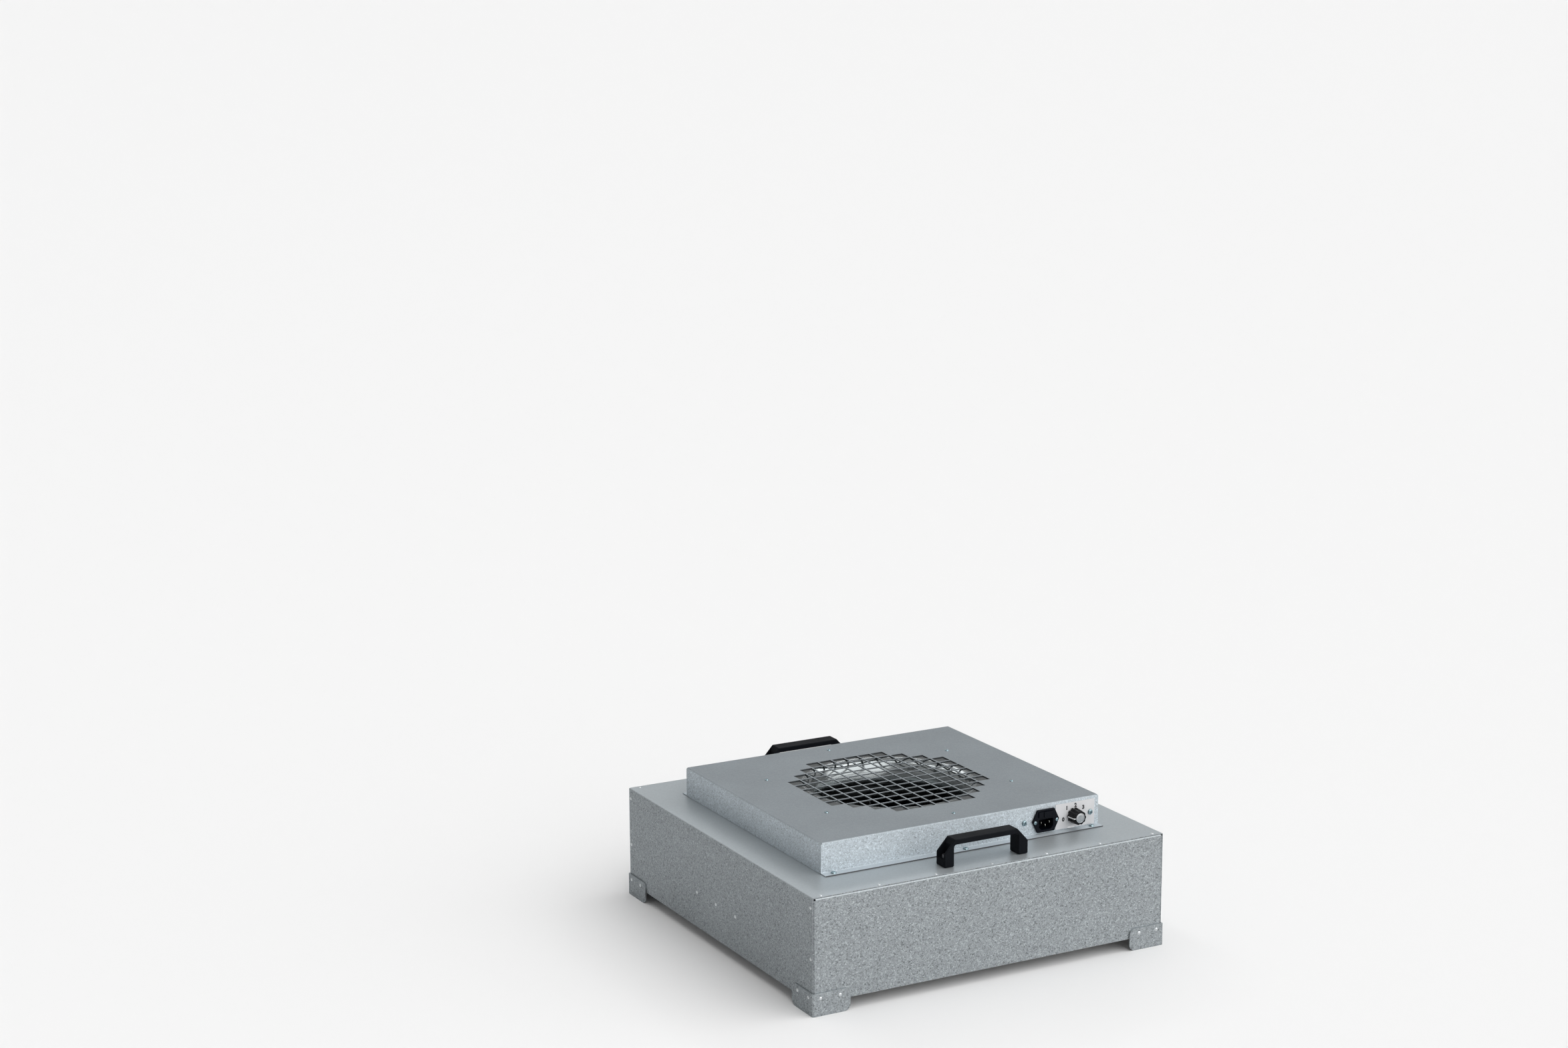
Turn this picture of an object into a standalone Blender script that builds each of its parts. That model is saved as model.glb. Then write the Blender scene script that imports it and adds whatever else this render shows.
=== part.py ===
"""A small fan filter unit for a cleanroom ceiling, built piece by piece as the real one is.

Metres, +Z up. The origin is on the floor under the middle of the unit, the front (with the inlet and
the speed knob) faces -Y and the left side faces -X. Air is drawn in through the grille on top, passes
the inlet ring and the impeller, and leaves downwards through the pleated filter.
"""

import math

import bmesh
import bpy
from mathutils import Matrix, Vector

# Sheet metal and fits
SHEET = 0.0012
FOLD_RADIUS = 0.0018
FOLD_STEPS = 3
CORNER_STEPS = 5
FIT = 0.0003
LOOSE_FIT = 0.00045
SAME_PLACE = 1e-7
SHARP_ANGLE = math.radians(35)

# Housing: one sheet folded into top and sides, with a front and a rear panel
HOUSING_WIDTH = 0.575
HOUSING_DEPTH = 0.575
WALL_HEIGHT = 0.150
FOOT_DROP = 0.018
PANEL_FLANGE = 0.014
PANEL_SEAM = 0.0012
FOLD_RELIEF = 0.0006

# Corner brackets, which are also the feet
BRACKET_SHEET = 0.002
BRACKET_FOLD_RADIUS = 0.003
BRACKET_ARM = 0.059
BRACKET_LAP = 0.0145
BRACKET_CORNER_RADIUS = 0.009
BRACKET_FOOT_RADIUS = 0.010
GUSSET_REACH = 0.045
GUSSET_THICKNESS = 0.0016

# Intake cover with its square-hole grille
COVER_SIDE_MARGIN = 0.0575
COVER_FRONT_MARGIN = 0.0815
COVER_WIDTH = HOUSING_WIDTH - 2 * COVER_SIDE_MARGIN
COVER_DEPTH = HOUSING_DEPTH - 2 * COVER_FRONT_MARGIN
COVER_HEIGHT = 0.045
COVER_FLANGE = 0.0135
GRILLE_PITCH = 0.0225
GRILLE_BAR = 0.0025
GRILLE_ROWS = (6, 8, 10, 12, 12, 12, 12, 12, 12, 10, 8, 6)

# Inlet ring
RING_MARGIN = 0.016
RING_FLANGE_RADIUS = min(COVER_WIDTH, COVER_DEPTH) / 2 - RING_MARGIN
THROAT_RADIUS = 0.103
BELL_FLARE = 0.024
BELL_RADIUS = THROAT_RADIUS + BELL_FLARE
BELL_DEPTH = 0.0355
RING_SHEET = 0.0012
BELL_STEPS = 6

# Impeller
NECK_CLEARANCE = 0.0015
SHROUD_SHEET = 0.0012
NECK_RADIUS = THROAT_RADIUS + RING_SHEET + NECK_CLEARANCE + SHROUD_SHEET
SHROUD_SPREAD = 0.0331
IMPELLER_RADIUS = NECK_RADIUS + SHROUD_SPREAD
FAN_HOLE_MARGIN = 0.010
FAN_HOLE_RADIUS = IMPELLER_RADIUS + FAN_HOLE_MARGIN
NECK_LAP = 0.006
SHROUD_DROP = 0.034
SHROUD_OVERRUN = 0.006
SHROUD_STEPS = 5
BACKPLATE_SHEET = 0.0015
BLADE_COUNT = 7
BLADE_INNER_RADIUS = 0.084
BLADE_TOP_MARGIN = 0.0061
BLADE_TOP_INNER_RADIUS = NECK_RADIUS + BLADE_TOP_MARGIN
BLADE_TIP_MARGIN = 0.003
BLADE_ANGLE = math.radians(38)
BLADE_SHEET = 0.0014
BLADE_WELD_GAP = 0.0006
BLADE_STEPS = 6
BLADE_NUDGE = 0.01

# External-rotor motor
BASE_RADIUS = 0.046
BASE_THICKNESS = 0.005
BASE_TUBE_RADIUS = 0.0145
BASE_TUBE_HEIGHT = 0.048
ROTOR_RADIUS = 0.051
ROTOR_WALL = 0.0045
ROTOR_HEIGHT = 0.058
ROTOR_BASE_GAP = 0.0045
ROTOR_RIM_WIDTH = 0.004
ROTOR_RIM_THICKNESS = 0.0025
ROTOR_RIM_RISE = 0.0125
ROTOR_CROWN = 0.008
CROWN_RADIUS = 0.0315
CROWN_SLOPE = 0.0012
BOSS_RADIUS = 0.012
BOSS_HEIGHT = 0.005
AIR_GAP = 0.0008
STACK_HEIGHT = 0.032
STACK_RISE = 0.0105
WINDING_HEIGHT = 0.004
WINDING_MARGIN = 0.006
SHAFT_RADIUS = 0.004
BEARING_RADIUS = 0.011
BEARING_WIDTH = 0.007
BEARING_RISE = 0.011
COLLAR_HEIGHT = 0.0015
COLLAR_WIDTH = 0.0018

# Motor bracket: a channel from side wall to side wall
CHANNEL_WIDTH = 0.150
CHANNEL_LIP = 0.012
CHANNEL_TAB = 0.016
CHANNEL_SHEET = 0.0015

# Run capacitor on the channel
CAPACITOR_RADIUS = 0.015
CAPACITOR_LENGTH = 0.062
CAPACITOR_EDGE = 0.0015
CAPACITOR_NECK_RADIUS = 0.012
CAPACITOR_INSET = 0.1155
CAPACITOR_X = HOUSING_WIDTH / 2 - CAPACITOR_INSET
CLIP_WIDTH = 0.014
CLIP_SHEET = 0.001
CLIP_FOOT = 0.012
CLIP_STEPS = 8

# Filter, its seat and its gasket
FILTER_DEPTH = 0.040
FILTER_PLAY = 0.0020
RAIL_WALL = 0.0015
RAIL_LIP = 0.013
PLEAT_COUNT = 40
PLEAT_TIP = 0.005
GUARD_CELLS = 10
GUARD_BAR = 0.004
GUARD_SHEET = 0.001
GASKET_WIDTH = 0.012
GASKET_HEIGHT = 0.0029
LEDGE_LEG = 0.020
LEDGE_UPRIGHT = 0.014

# Handles
HANDLE_INSET = 0.031
HANDLE_Y = HOUSING_DEPTH / 2 - HANDLE_INSET
HANDLE_LENGTH = 0.137
HANDLE_DEPTH = 0.023
HANDLE_HEIGHT = 0.0385
HANDLE_LEG = 0.015
HANDLE_SHOULDER = 0.0195
HANDLE_SLOPE = 0.0175
GRIP_THICKNESS = 0.012
HANDLE_EDGE = 0.0014
FINGER_GAP_RADIUS = 0.004
POCKET_FLOOR = 0.011
POCKET_WIDTH = 0.0165
POCKET_BACK = 0.003
BOLT_RADIUS = 0.0025
BOLT_HEAD_RADIUS = 0.0042
BOLT_HEAD_HEIGHT = 0.005
BOLT_SOCKET_RADIUS = 0.002
BOLT_SOCKET_DEPTH = 0.0025
NUT_RADIUS = 0.0048
NUT_HEIGHT = 0.004

# Controls on the front wall of the cover
CONTROL_RISE = 0.0205
INLET_INSET = 0.092
INLET_X = COVER_WIDTH / 2 - INLET_INSET
INLET_WIDTH = 0.0455
INLET_HEIGHT = 0.034
INLET_SHOULDER = 0.029
INLET_FLANGE = 0.003
INLET_BODY_WIDTH = 0.0275
INLET_BODY_HEIGHT = 0.031
INLET_BODY_DEPTH = 0.026
SOCKET_WIDTH = 0.0242
SOCKET_HEIGHT = 0.0162
SOCKET_DEPTH = 0.017
SOCKET_DROP = 0.0055
SOCKET_CHAMFER = 0.0045
PIN_SPACING = 0.014
PIN_WIDTH = 0.002
PIN_HEIGHT = 0.004
PIN_OFFSET = 0.0022
PIN_RECESS = 0.0018
PIN_TAIL = 0.008
DRAWER_RISE = 0.0098
DRAWER_WIDTH = 0.0236
DRAWER_HEIGHT = 0.008
DRAWER_DEPTH = 0.0205
DRAWER_FACE = 0.0262
DRAWER_FACE_THICKNESS = 0.0015
DRAWER_LIP = 0.010
DRAWER_LIP_THICKNESS = 0.0012
FUSE_RADIUS = 0.0025
FUSE_LENGTH = 0.020
FUSE_CAP_LENGTH = 0.005
FUSE_CAP_STEP = 0.0002
KNOB_INSET = 0.043
KNOB_X = COVER_WIDTH / 2 - KNOB_INSET
KNOB_RADIUS = 0.0118
KNOB_TOP_RADIUS = 0.0106
KNOB_HEIGHT = 0.0165
KNOB_CHAMFER = 0.0012
KNOB_FLUTES = 8
KNOB_FLUTE_DEPTH = 0.0009
KNOB_CAP_RADIUS = 0.0073
KNOB_CAP_THICKNESS = 0.0012
KNOB_CAP_EDGE = 0.0007
KNOB_CAP_DISH = 0.0002
KNOB_CAP_SEAT = 0.0003
KNOB_RECESS_RADIUS = 0.0088
KNOB_RECESS_DEPTH = 0.005
SWITCH_SIZE = 0.028
SWITCH_DEPTH = 0.022
BUSHING_RADIUS = 0.0045
BUSHING_LENGTH = 0.0055
SPINDLE_RADIUS = 0.003
SPINDLE_DEPTH = 0.014
SPINDLE_COVER = 0.0036
SWITCH_NUT_RADIUS = 0.0075
SWITCH_NUT_HEIGHT = 0.0024
HEXAGON_SIDES = 6
NUT_STEPS = 4
LABEL_INSET = 0.007
LABEL_WIDTH = 0.0675
LABEL_RIGHT = COVER_WIDTH / 2 - LABEL_INSET
LABEL_HEIGHT = 0.0375
LABEL_RISE = 0.0215
LABEL_THICKNESS = 0.0005
BOX_INSET = 0.071
BOX_X = COVER_WIDTH / 2 - BOX_INSET
BOX_WIDTH = 0.098
BOX_DEPTH = 0.049
BOX_HEIGHT = 0.0412
BOX_TAB = 0.015

# Facets of round pieces
LARGE_ROUND = 36
MEDIUM_ROUND = 28
SMALL_ROUND = 16
BOLT_ROUND = 8

# Heights that follow from the sizes above
HOUSING_TOP = FOOT_DROP + WALL_HEIGHT
COVER_TOP = HOUSING_TOP + COVER_HEIGHT
FILTER_TOP = FOOT_DROP + FILTER_DEPTH
LEDGE_BASE = FILTER_TOP + FIT + GASKET_HEIGHT + FIT
CHANNEL_BASE = LEDGE_BASE + SHEET + FIT
CHANNEL_TOP = CHANNEL_BASE + CHANNEL_SHEET
MOTOR_BASE = CHANNEL_TOP + FIT
ROTOR_BASE = MOTOR_BASE + BASE_THICKNESS + ROTOR_BASE_GAP
BACKPLATE_BASE = ROTOR_BASE + ROTOR_RIM_RISE + ROTOR_RIM_THICKNESS + FIT
RING_TOP = COVER_TOP - SHEET - FIT
NECK_TOP = RING_TOP - BELL_DEPTH + NECK_LAP
CONTROL_HEIGHT = HOUSING_TOP + CONTROL_RISE
COVER_FRONT = -COVER_DEPTH / 2

# How an outline of (u, v) points and a length w lie in space when it is extruded along each axis
ALONG = {
    "X": lambda u, v, w: (w, u, v),
    "Y": lambda u, v, w: (u, w, v),
    "Z": lambda u, v, w: (u, v, w),
}
FACE_FRONT = (math.pi / 2, 0, 0)


class Skin:
    """The outer face of a folded sheet, gathered as faces that share their corners."""

    def __init__(self):
        self.bm = bmesh.new()
        self.corners = {}

    def corner(self, point):
        """Return the mesh corner at a point, the same one each time."""
        key = tuple(round(value, 6) for value in point)
        if key not in self.corners:
            self.corners[key] = self.bm.verts.new(point)
        return self.corners[key]

    def face(self, points):
        """Add one flat face."""
        self.bm.faces.new([self.corner(point) for point in points])

    def sweep(self, path, stations, axis):
        """Carry a path of 2D points along an axis from station to station."""
        place = ALONG[axis]
        for low, high in zip(stations, stations[1:]):
            for start, end in zip(path, path[1:]):
                self.face(
                    [
                        place(start[0], start[1], low),
                        place(end[0], end[1], low),
                        place(end[0], end[1], high),
                        place(start[0], start[1], high),
                    ]
                )

    def grid(self, us, vs, level, axis, is_open=None):
        """Fill a flat grid at one level of the axis, leaving out the cells that are open."""
        place = ALONG[axis]
        for i, (left, right) in enumerate(zip(us, us[1:])):
            for j, (low, high) in enumerate(zip(vs, vs[1:])):
                if is_open and is_open(i, j):
                    continue
                ring = ((left, low), (right, low), (right, high), (left, high))
                self.face([place(u, v, level) for u, v in ring])

    def mesh(self, name, outward):
        """Turn every face to agree with the first one, which looks outward, and make the mesh."""
        bmesh.ops.recalc_face_normals(self.bm, faces=self.bm.faces)
        self.bm.faces.ensure_lookup_table()
        if self.bm.faces[0].normal.dot(Vector(outward)) < 0:
            bmesh.ops.reverse_faces(self.bm, faces=self.bm.faces)
        return mesh_from(self.bm, name)


def mesh_from(bm, name):
    """Store a bmesh as a mesh and free it."""
    mesh = bpy.data.meshes.new(name)
    bm.to_mesh(mesh)
    bm.free()
    return mesh


def finish_mesh(mesh, name, colour, roughness, metallic, parent, location, rotation, smooth):
    """Make the object of a mesh, with its own material, in its place."""
    piece = bpy.data.objects.new(name, mesh)
    bpy.context.scene.collection.objects.link(piece)
    material = bpy.data.materials.new(name)
    material.use_nodes = True
    shader = material.node_tree.nodes["Principled BSDF"]
    shader.inputs["Base Color"].default_value = (*colour, 1.0)
    shader.inputs["Roughness"].default_value = roughness
    shader.inputs["Metallic"].default_value = metallic
    piece.data.materials.clear()
    piece.data.materials.append(material)
    if smooth:
        piece.data.shade_smooth()
        piece.data.set_sharp_from_angle(angle=SHARP_ANGLE)
    piece.parent = parent
    piece.location = location
    piece.rotation_euler = rotation
    return piece


FINISHES = {
    "galvanised": ((0.42, 0.45, 0.46), 0.42, 0.8),
    "spun_steel": ((0.62, 0.64, 0.65), 0.22, 1.0),
    "aluminium": ((0.70, 0.71, 0.72), 0.35, 1.0),
    "steel": ((0.52, 0.52, 0.53), 0.35, 1.0),
    "black_plastic": ((0.018, 0.018, 0.020), 0.45, 0.0),
    "label_film": ((0.72, 0.71, 0.70), 0.40, 0.0),
    "media": ((0.85, 0.85, 0.83), 0.90, 0.0),
    "white_paint": ((0.78, 0.79, 0.80), 0.45, 0.0),
    "foam": ((0.08, 0.08, 0.09), 0.90, 0.0),
    "copper": ((0.42, 0.24, 0.15), 0.45, 0.7),
    "brass": ((0.62, 0.50, 0.28), 0.30, 1.0),
    "glass": ((0.75, 0.78, 0.78), 0.10, 0.0),
}


def add_piece(name, mesh, finish, parent, location=(0, 0, 0), rotation=(0, 0, 0), smooth=False):
    """Add one sub-part in one of the named finishes."""
    colour, roughness, metallic = FINISHES[finish]
    return finish_mesh(mesh, name, colour, roughness, metallic, parent, location, rotation, smooth)


def add_frame(name, location=(0, 0, 0), parent=None):
    """Add an empty that carries the pieces of one moving or fixed group."""
    frame = bpy.data.objects.new(name, None)
    bpy.context.scene.collection.objects.link(frame)
    frame.location = location
    frame.parent = parent
    return frame


def thicken(piece, thickness):
    """Give a skin its sheet thickness, behind its outer face."""
    modifier = piece.modifiers.new("sheet", "SOLIDIFY")
    modifier.thickness = thickness
    modifier.offset = -1
    modifier.use_even_offset = True


def combine(piece, tool_mesh, operation, location=None, rotation=None):
    """Cut a shape from a piece, or join one to it, and leave the shape as a hidden guide."""
    tool = bpy.data.objects.new(f"{piece.name}_{operation.lower()}_{len(piece.modifiers)}", tool_mesh)
    bpy.context.scene.collection.objects.link(tool)
    tool.parent = piece.parent
    tool.location = piece.location if location is None else location
    tool.rotation_euler = piece.rotation_euler if rotation is None else rotation
    tool.hide_render = True
    tool.display_type = "WIRE"
    modifier = piece.modifiers.new(operation.lower(), "BOOLEAN")
    modifier.operation = operation
    modifier.solver = "EXACT"
    modifier.object = tool


def round_path(corners, radii, arc_steps=FOLD_STEPS):
    """Return a path with an arc at each inner corner; a radius of 0 keeps a corner sharp."""
    points = [Vector(corners[0])]
    for before, corner, after, radius in zip(corners, corners[1:], corners[2:], radii):
        into = (Vector(corner) - Vector(before)).normalized()
        out = (Vector(after) - Vector(corner)).normalized()
        turn = math.atan2(into.x * out.y - into.y * out.x, into.dot(out))
        start = Vector(corner) - into * radius * math.tan(abs(turn) / 2)
        centre = start + Vector((-into.y, into.x)) * math.copysign(radius, turn)
        steps = arc_steps if radius else 0
        for step in range(steps + 1):
            arm = start - centre
            arm.rotate(Matrix.Rotation(turn * step / max(steps, 1), 2))
            points.append(centre + arm)
    points.append(Vector(corners[-1]))
    return [
        point
        for index, point in enumerate(points)
        if index == 0 or (point - points[index - 1]).length > SAME_PLACE
    ]


def sheet_outline(path, thickness):
    """Close a path into the outline of a sheet that lies on its left, with mitred corners."""
    path = [Vector(point) for point in path]
    runs = [(end - start).normalized() for start, end in zip(path, path[1:])]
    lefts = [Vector((-run.y, run.x)) for run in runs]
    far = []
    for index, point in enumerate(path):
        before = lefts[max(index - 1, 0)]
        after = lefts[min(index, len(lefts) - 1)]
        far.append(point + (before + after) * thickness / (1 + before.dot(after)))
    return [tuple(point) for point in path + far[::-1]]


def prism(outline, low, high, axis="Z", bm=None):
    """Extrude a closed outline of (u, v) points along an axis."""
    bm = bm or bmesh.new()
    place = ALONG[axis]
    ends = [[bm.verts.new(place(u, v, w)) for u, v in outline] for w in (low, high)]
    faces = [bm.faces.new(ends[0]), bm.faces.new(ends[1])]
    for index in range(len(outline)):
        after = (index + 1) % len(outline)
        ring = (ends[0][index], ends[0][after], ends[1][after], ends[1][index])
        faces.append(bm.faces.new(ring))
    bmesh.ops.recalc_face_normals(bm, faces=faces)
    return bm


def rectangle(half_width, half_height, centre=(0, 0)):
    """Outline of a rectangle about a centre."""
    u, v = centre
    return [
        (u - half_width, v - half_height),
        (u + half_width, v - half_height),
        (u + half_width, v + half_height),
        (u - half_width, v + half_height),
    ]


def circle(radius, count, centre=(0, 0), turn=0.0):
    """Outline of a round, as so many corners."""
    return [
        (
            centre[0] + radius * math.cos(turn + math.tau * k / count),
            centre[1] + radius * math.sin(turn + math.tau * k / count),
        )
        for k in range(count)
    ]


def loft(rings, closed=False):
    """Join rings of 3D points, all of one count, or single points at a pole, into one closed body."""
    bm = bmesh.new()
    loops = [[bm.verts.new(point) for point in ring] for ring in rings]
    count = max(len(loop) for loop in loops)
    following = loops[1:] + (loops[:1] if closed else [])
    for low, high in zip(loops, following):
        for k in range(count):
            after = (k + 1) % count
            ring = [low[k % len(low)], low[after % len(low)], high[after % len(high)], high[k % len(high)]]
            bm.faces.new(list(dict.fromkeys(ring)))
    if not closed:
        for loop in (loops[0], loops[-1]):
            if len(loop) > 1:
                bm.faces.new(loop)
    bmesh.ops.recalc_face_normals(bm, faces=bm.faces)
    return bm


def turned(profile, count, closed=False):
    """Revolve (radius, height) points about Z; a closed profile stays clear of the axis."""
    rings = []
    for radius, height in profile:
        outline = circle(radius, count) if radius > 0 else [(0, 0)]
        rings.append([(x, y, height) for x, y in outline])
    return loft(rings, closed)


def clear_scene():
    """Remove whatever the file opened with."""
    for piece in list(bpy.data.objects):
        bpy.data.objects.remove(piece, do_unlink=True)


def build_wrapper(frame):
    """Top and both sides, one sheet folded at the two upper edges, with the fan hole in its top."""
    half = HOUSING_WIDTH / 2
    path = round_path(
        [(-half, FOOT_DROP), (-half, HOUSING_TOP), (half, HOUSING_TOP), (half, FOOT_DROP)],
        [FOLD_RADIUS, FOLD_RADIUS],
    )
    reach = HOUSING_DEPTH / 2 - PANEL_SEAM
    skin = Skin()
    skin.sweep(path, [-reach, reach], "Y")
    piece = add_piece("housing_wrapper", skin.mesh("housing_wrapper", (-1, 0, 0)), "galvanised", frame)
    thicken(piece, SHEET)
    low, high = HOUSING_TOP - FOLD_RADIUS - SHEET, HOUSING_TOP + SHEET
    cutter = prism(circle(FAN_HOLE_RADIUS, LARGE_ROUND), low, high)
    for x, y in handle_bolt_places():
        prism(circle(BOLT_RADIUS + FIT, BOLT_ROUND, (x, y)), low, high, bm=cutter)
    combine(piece, mesh_from(cutter, "wrapper_holes"), "DIFFERENCE")


def build_panel(name, frame, turn):
    """Front or rear panel: a plate whose top and side edges are folded in behind the wrapper."""
    half = HOUSING_WIDTH / 2 - SHEET - FIT
    top = HOUSING_TOP - SHEET - FIT
    face = -HOUSING_DEPTH / 2
    edge_x, edge_z = half - FOLD_RADIUS, top - FOLD_RADIUS
    flange_end = face + PANEL_FLANGE
    skin = Skin()
    columns = [-edge_x, FOLD_RELIEF - edge_x, edge_x - FOLD_RELIEF, edge_x]
    skin.grid(columns, [FOOT_DROP, edge_z - FOLD_RELIEF, edge_z], face, "Y")
    over = round_path([(face, edge_z), (face, top), (flange_end, top)], [FOLD_RADIUS])
    skin.sweep(over, columns[1:3], "X")
    for side in (-1, 1):
        corners = [(side * edge_x, face), (side * half, face), (side * half, flange_end)]
        skin.sweep(round_path(corners, [FOLD_RADIUS]), [FOOT_DROP, edge_z - FOLD_RELIEF], "Z")
    piece = add_piece(name, skin.mesh(name, (0, -1, 0)), "galvanised", frame, rotation=(0, 0, turn))
    thicken(piece, SHEET)


def bracket_arm(skin, axis):
    """One arm of a corner bracket, with its two free corners rounded."""
    height = FOOT_DROP + BRACKET_LAP
    corners = [
        (BRACKET_FOLD_RADIUS, 0.0),
        (BRACKET_ARM, 0.0),
        (BRACKET_ARM, height),
        (BRACKET_FOLD_RADIUS, height),
    ]
    outline = round_path(corners, [BRACKET_FOOT_RADIUS, BRACKET_CORNER_RADIUS], CORNER_STEPS)
    if axis == "X":
        skin.face([(u, 0.0, v) for u, v in outline])
    else:
        skin.face([(0.0, u, v) for u, v in outline])


def build_bracket(name, frame, corner, turn):
    """Corner bracket: an angle round the housing's lower corner with a gusset under the filter."""
    height = FOOT_DROP + BRACKET_LAP
    skin = Skin()
    bracket_arm(skin, "X")
    bend = round_path(
        [(BRACKET_FOLD_RADIUS, 0.0), (0.0, 0.0), (0.0, BRACKET_FOLD_RADIUS)], [BRACKET_FOLD_RADIUS]
    )
    skin.sweep(bend, [0.0, height], "Z")
    bracket_arm(skin, "Y")
    reach_x = HOUSING_WIDTH / 2 + FIT + BRACKET_SHEET
    reach_y = HOUSING_DEPTH / 2 + FIT + BRACKET_SHEET
    location = (corner[0] * reach_x, corner[1] * reach_y, 0)
    mesh = skin.mesh(name, (0, -1, 0))
    piece = add_piece(name, mesh, "galvanised", frame, location, (0, 0, turn))
    thicken(piece, BRACKET_SHEET)
    bite = BRACKET_SHEET / 2
    top = FOOT_DROP - FIT
    gusset = [(bite, bite), (GUSSET_REACH, bite), (bite, GUSSET_REACH)]
    combine(piece, mesh_from(prism(gusset, top - GUSSET_THICKNESS, top), "gusset"), "UNION")


def grille_lines(cells, pitch, bar):
    """Edges of a row of openings, in order, centred on zero."""
    start = -cells * pitch / 2
    return [
        edge
        for cell in range(cells)
        for edge in (start + cell * pitch + bar / 2, start + (cell + 1) * pitch - bar / 2)
    ]


def grille_plate(skin, half_x, half_y, level, pitches, bar, rows):
    """A plate with square openings: rows gives how many openings each row has, about the middle."""
    cells = len(rows)
    us = grille_lines(cells, pitches[0], bar)
    vs = grille_lines(cells, pitches[1], bar)

    def is_open(i, j):
        return i % 2 == 0 and j % 2 == 0 and abs(i // 2 - (cells - 1) / 2) < rows[j // 2] / 2

    skin.face(
        [(u, vs[0], level) for u in us] + [(half_x, -half_y, level), (-half_x, -half_y, level)]
    )
    skin.face([(u, vs[-1], level) for u in us] + [(half_x, half_y, level), (-half_x, half_y, level)])
    skin.face([(us[0], v, level) for v in vs] + [(-half_x, half_y, level), (-half_x, -half_y, level)])
    skin.face([(us[-1], v, level) for v in vs] + [(half_x, half_y, level), (half_x, -half_y, level)])
    skin.grid(us, vs, level, "Z", is_open)


def build_cover(frame):
    """Intake cover: top with the grille, four folded walls, flanges along front and rear."""
    half_x, half_y = COVER_WIDTH / 2, COVER_DEPTH / 2
    edge_x, edge_y = half_x - FOLD_RADIUS, half_y - FOLD_RADIUS
    skin = Skin()
    grille_plate(skin, edge_x, edge_y, COVER_TOP, (GRILLE_PITCH, GRILLE_PITCH), GRILLE_BAR, GRILLE_ROWS)
    flange_top = HOUSING_TOP + FIT + SHEET
    for side in (-1, 1):
        wall = side * half_y
        over = [(side * edge_y, COVER_TOP), (wall, COVER_TOP), (wall, COVER_TOP - FOLD_RADIUS)]
        skin.sweep(round_path(over, [FOLD_RADIUS]), [-edge_x, edge_x], "X")
        tip = (wall + side * COVER_FLANGE, flange_top)
        down = [(wall, COVER_TOP - FOLD_RADIUS), (wall, flange_top), tip]
        skin.sweep(round_path(down, [FOLD_RADIUS - SHEET]), [-half_x, -edge_x, edge_x, half_x], "X")
        end = side * half_x
        side_wall = [(side * edge_x, COVER_TOP), (end, COVER_TOP), (end, HOUSING_TOP + FIT)]
        skin.sweep(round_path(side_wall, [FOLD_RADIUS]), [-edge_y, edge_y], "Y")
    piece = add_piece("intake_cover", skin.mesh("intake_cover", (0, 0, 1)), "galvanised", frame)
    thicken(piece, SHEET)
    cutter = prism(
        rectangle(INLET_BODY_WIDTH / 2 + FIT, INLET_BODY_HEIGHT / 2 + FIT, (INLET_X, CONTROL_HEIGHT)),
        COVER_FRONT - SHEET,
        COVER_FRONT + 2 * SHEET,
        "Y",
    )
    bushing_hole = circle(BUSHING_RADIUS + FIT, SMALL_ROUND, (KNOB_X, CONTROL_HEIGHT))
    prism(bushing_hole, COVER_FRONT - SHEET, COVER_FRONT + 2 * SHEET, "Y", cutter)
    combine(piece, mesh_from(cutter, "cover_holes"), "DIFFERENCE")


def bell_point(angle):
    """Point of the inlet ring's bell at an angle of its quarter ellipse, from flange to throat."""
    width = BELL_RADIUS - THROAT_RADIUS
    return (BELL_RADIUS - width * math.sin(angle), RING_TOP - BELL_DEPTH * (1 - math.cos(angle)))


def build_inlet_ring(frame):
    """Spun inlet ring: a flat flange under the cover that curls down to the throat."""
    curve = [(RING_FLANGE_RADIUS, RING_TOP)]
    curve += [bell_point(math.pi / 2 * step / BELL_STEPS) for step in range(BELL_STEPS + 1)]
    mesh = mesh_from(turned(sheet_outline(curve, RING_SHEET), LARGE_ROUND, closed=True), "inlet_ring")
    add_piece("inlet_ring", mesh, "spun_steel", frame, smooth=True)


def shroud_point(angle):
    """Point on the top of the impeller's shroud, from the neck (0) outwards."""
    width = IMPELLER_RADIUS + SHROUD_OVERRUN - NECK_RADIUS
    return (
        IMPELLER_RADIUS + SHROUD_OVERRUN - width * math.cos(angle),
        NECK_TOP - SHROUD_DROP * math.sin(angle),
    )


def shroud_end():
    """Angle at which the shroud reaches the impeller's outer radius."""
    return math.acos(SHROUD_OVERRUN / (IMPELLER_RADIUS + SHROUD_OVERRUN - NECK_RADIUS))


def shroud_underside(radius):
    """Height of the shroud's lower face at a radius."""
    width = IMPELLER_RADIUS + SHROUD_OVERRUN - NECK_RADIUS
    cosine = (IMPELLER_RADIUS + SHROUD_OVERRUN - radius) / width
    angle = math.acos(min(max(cosine, 0.0), 1.0))
    slope = math.hypot(width * math.sin(angle), SHROUD_DROP * math.cos(angle))
    tilt = SHROUD_SHEET * slope / (width * math.sin(angle))
    return shroud_point(angle)[1] - tilt


def blade_middle(share):
    """Plan position on a blade's middle line, a spiral of constant blade angle."""
    tip = IMPELLER_RADIUS - BLADE_TIP_MARGIN
    radius = BLADE_INNER_RADIUS + (tip - BLADE_INNER_RADIUS) * share
    sweep = math.log(radius / BLADE_INNER_RADIUS) / math.tan(BLADE_ANGLE)
    return Vector((radius * math.cos(sweep), radius * math.sin(sweep)))


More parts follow.
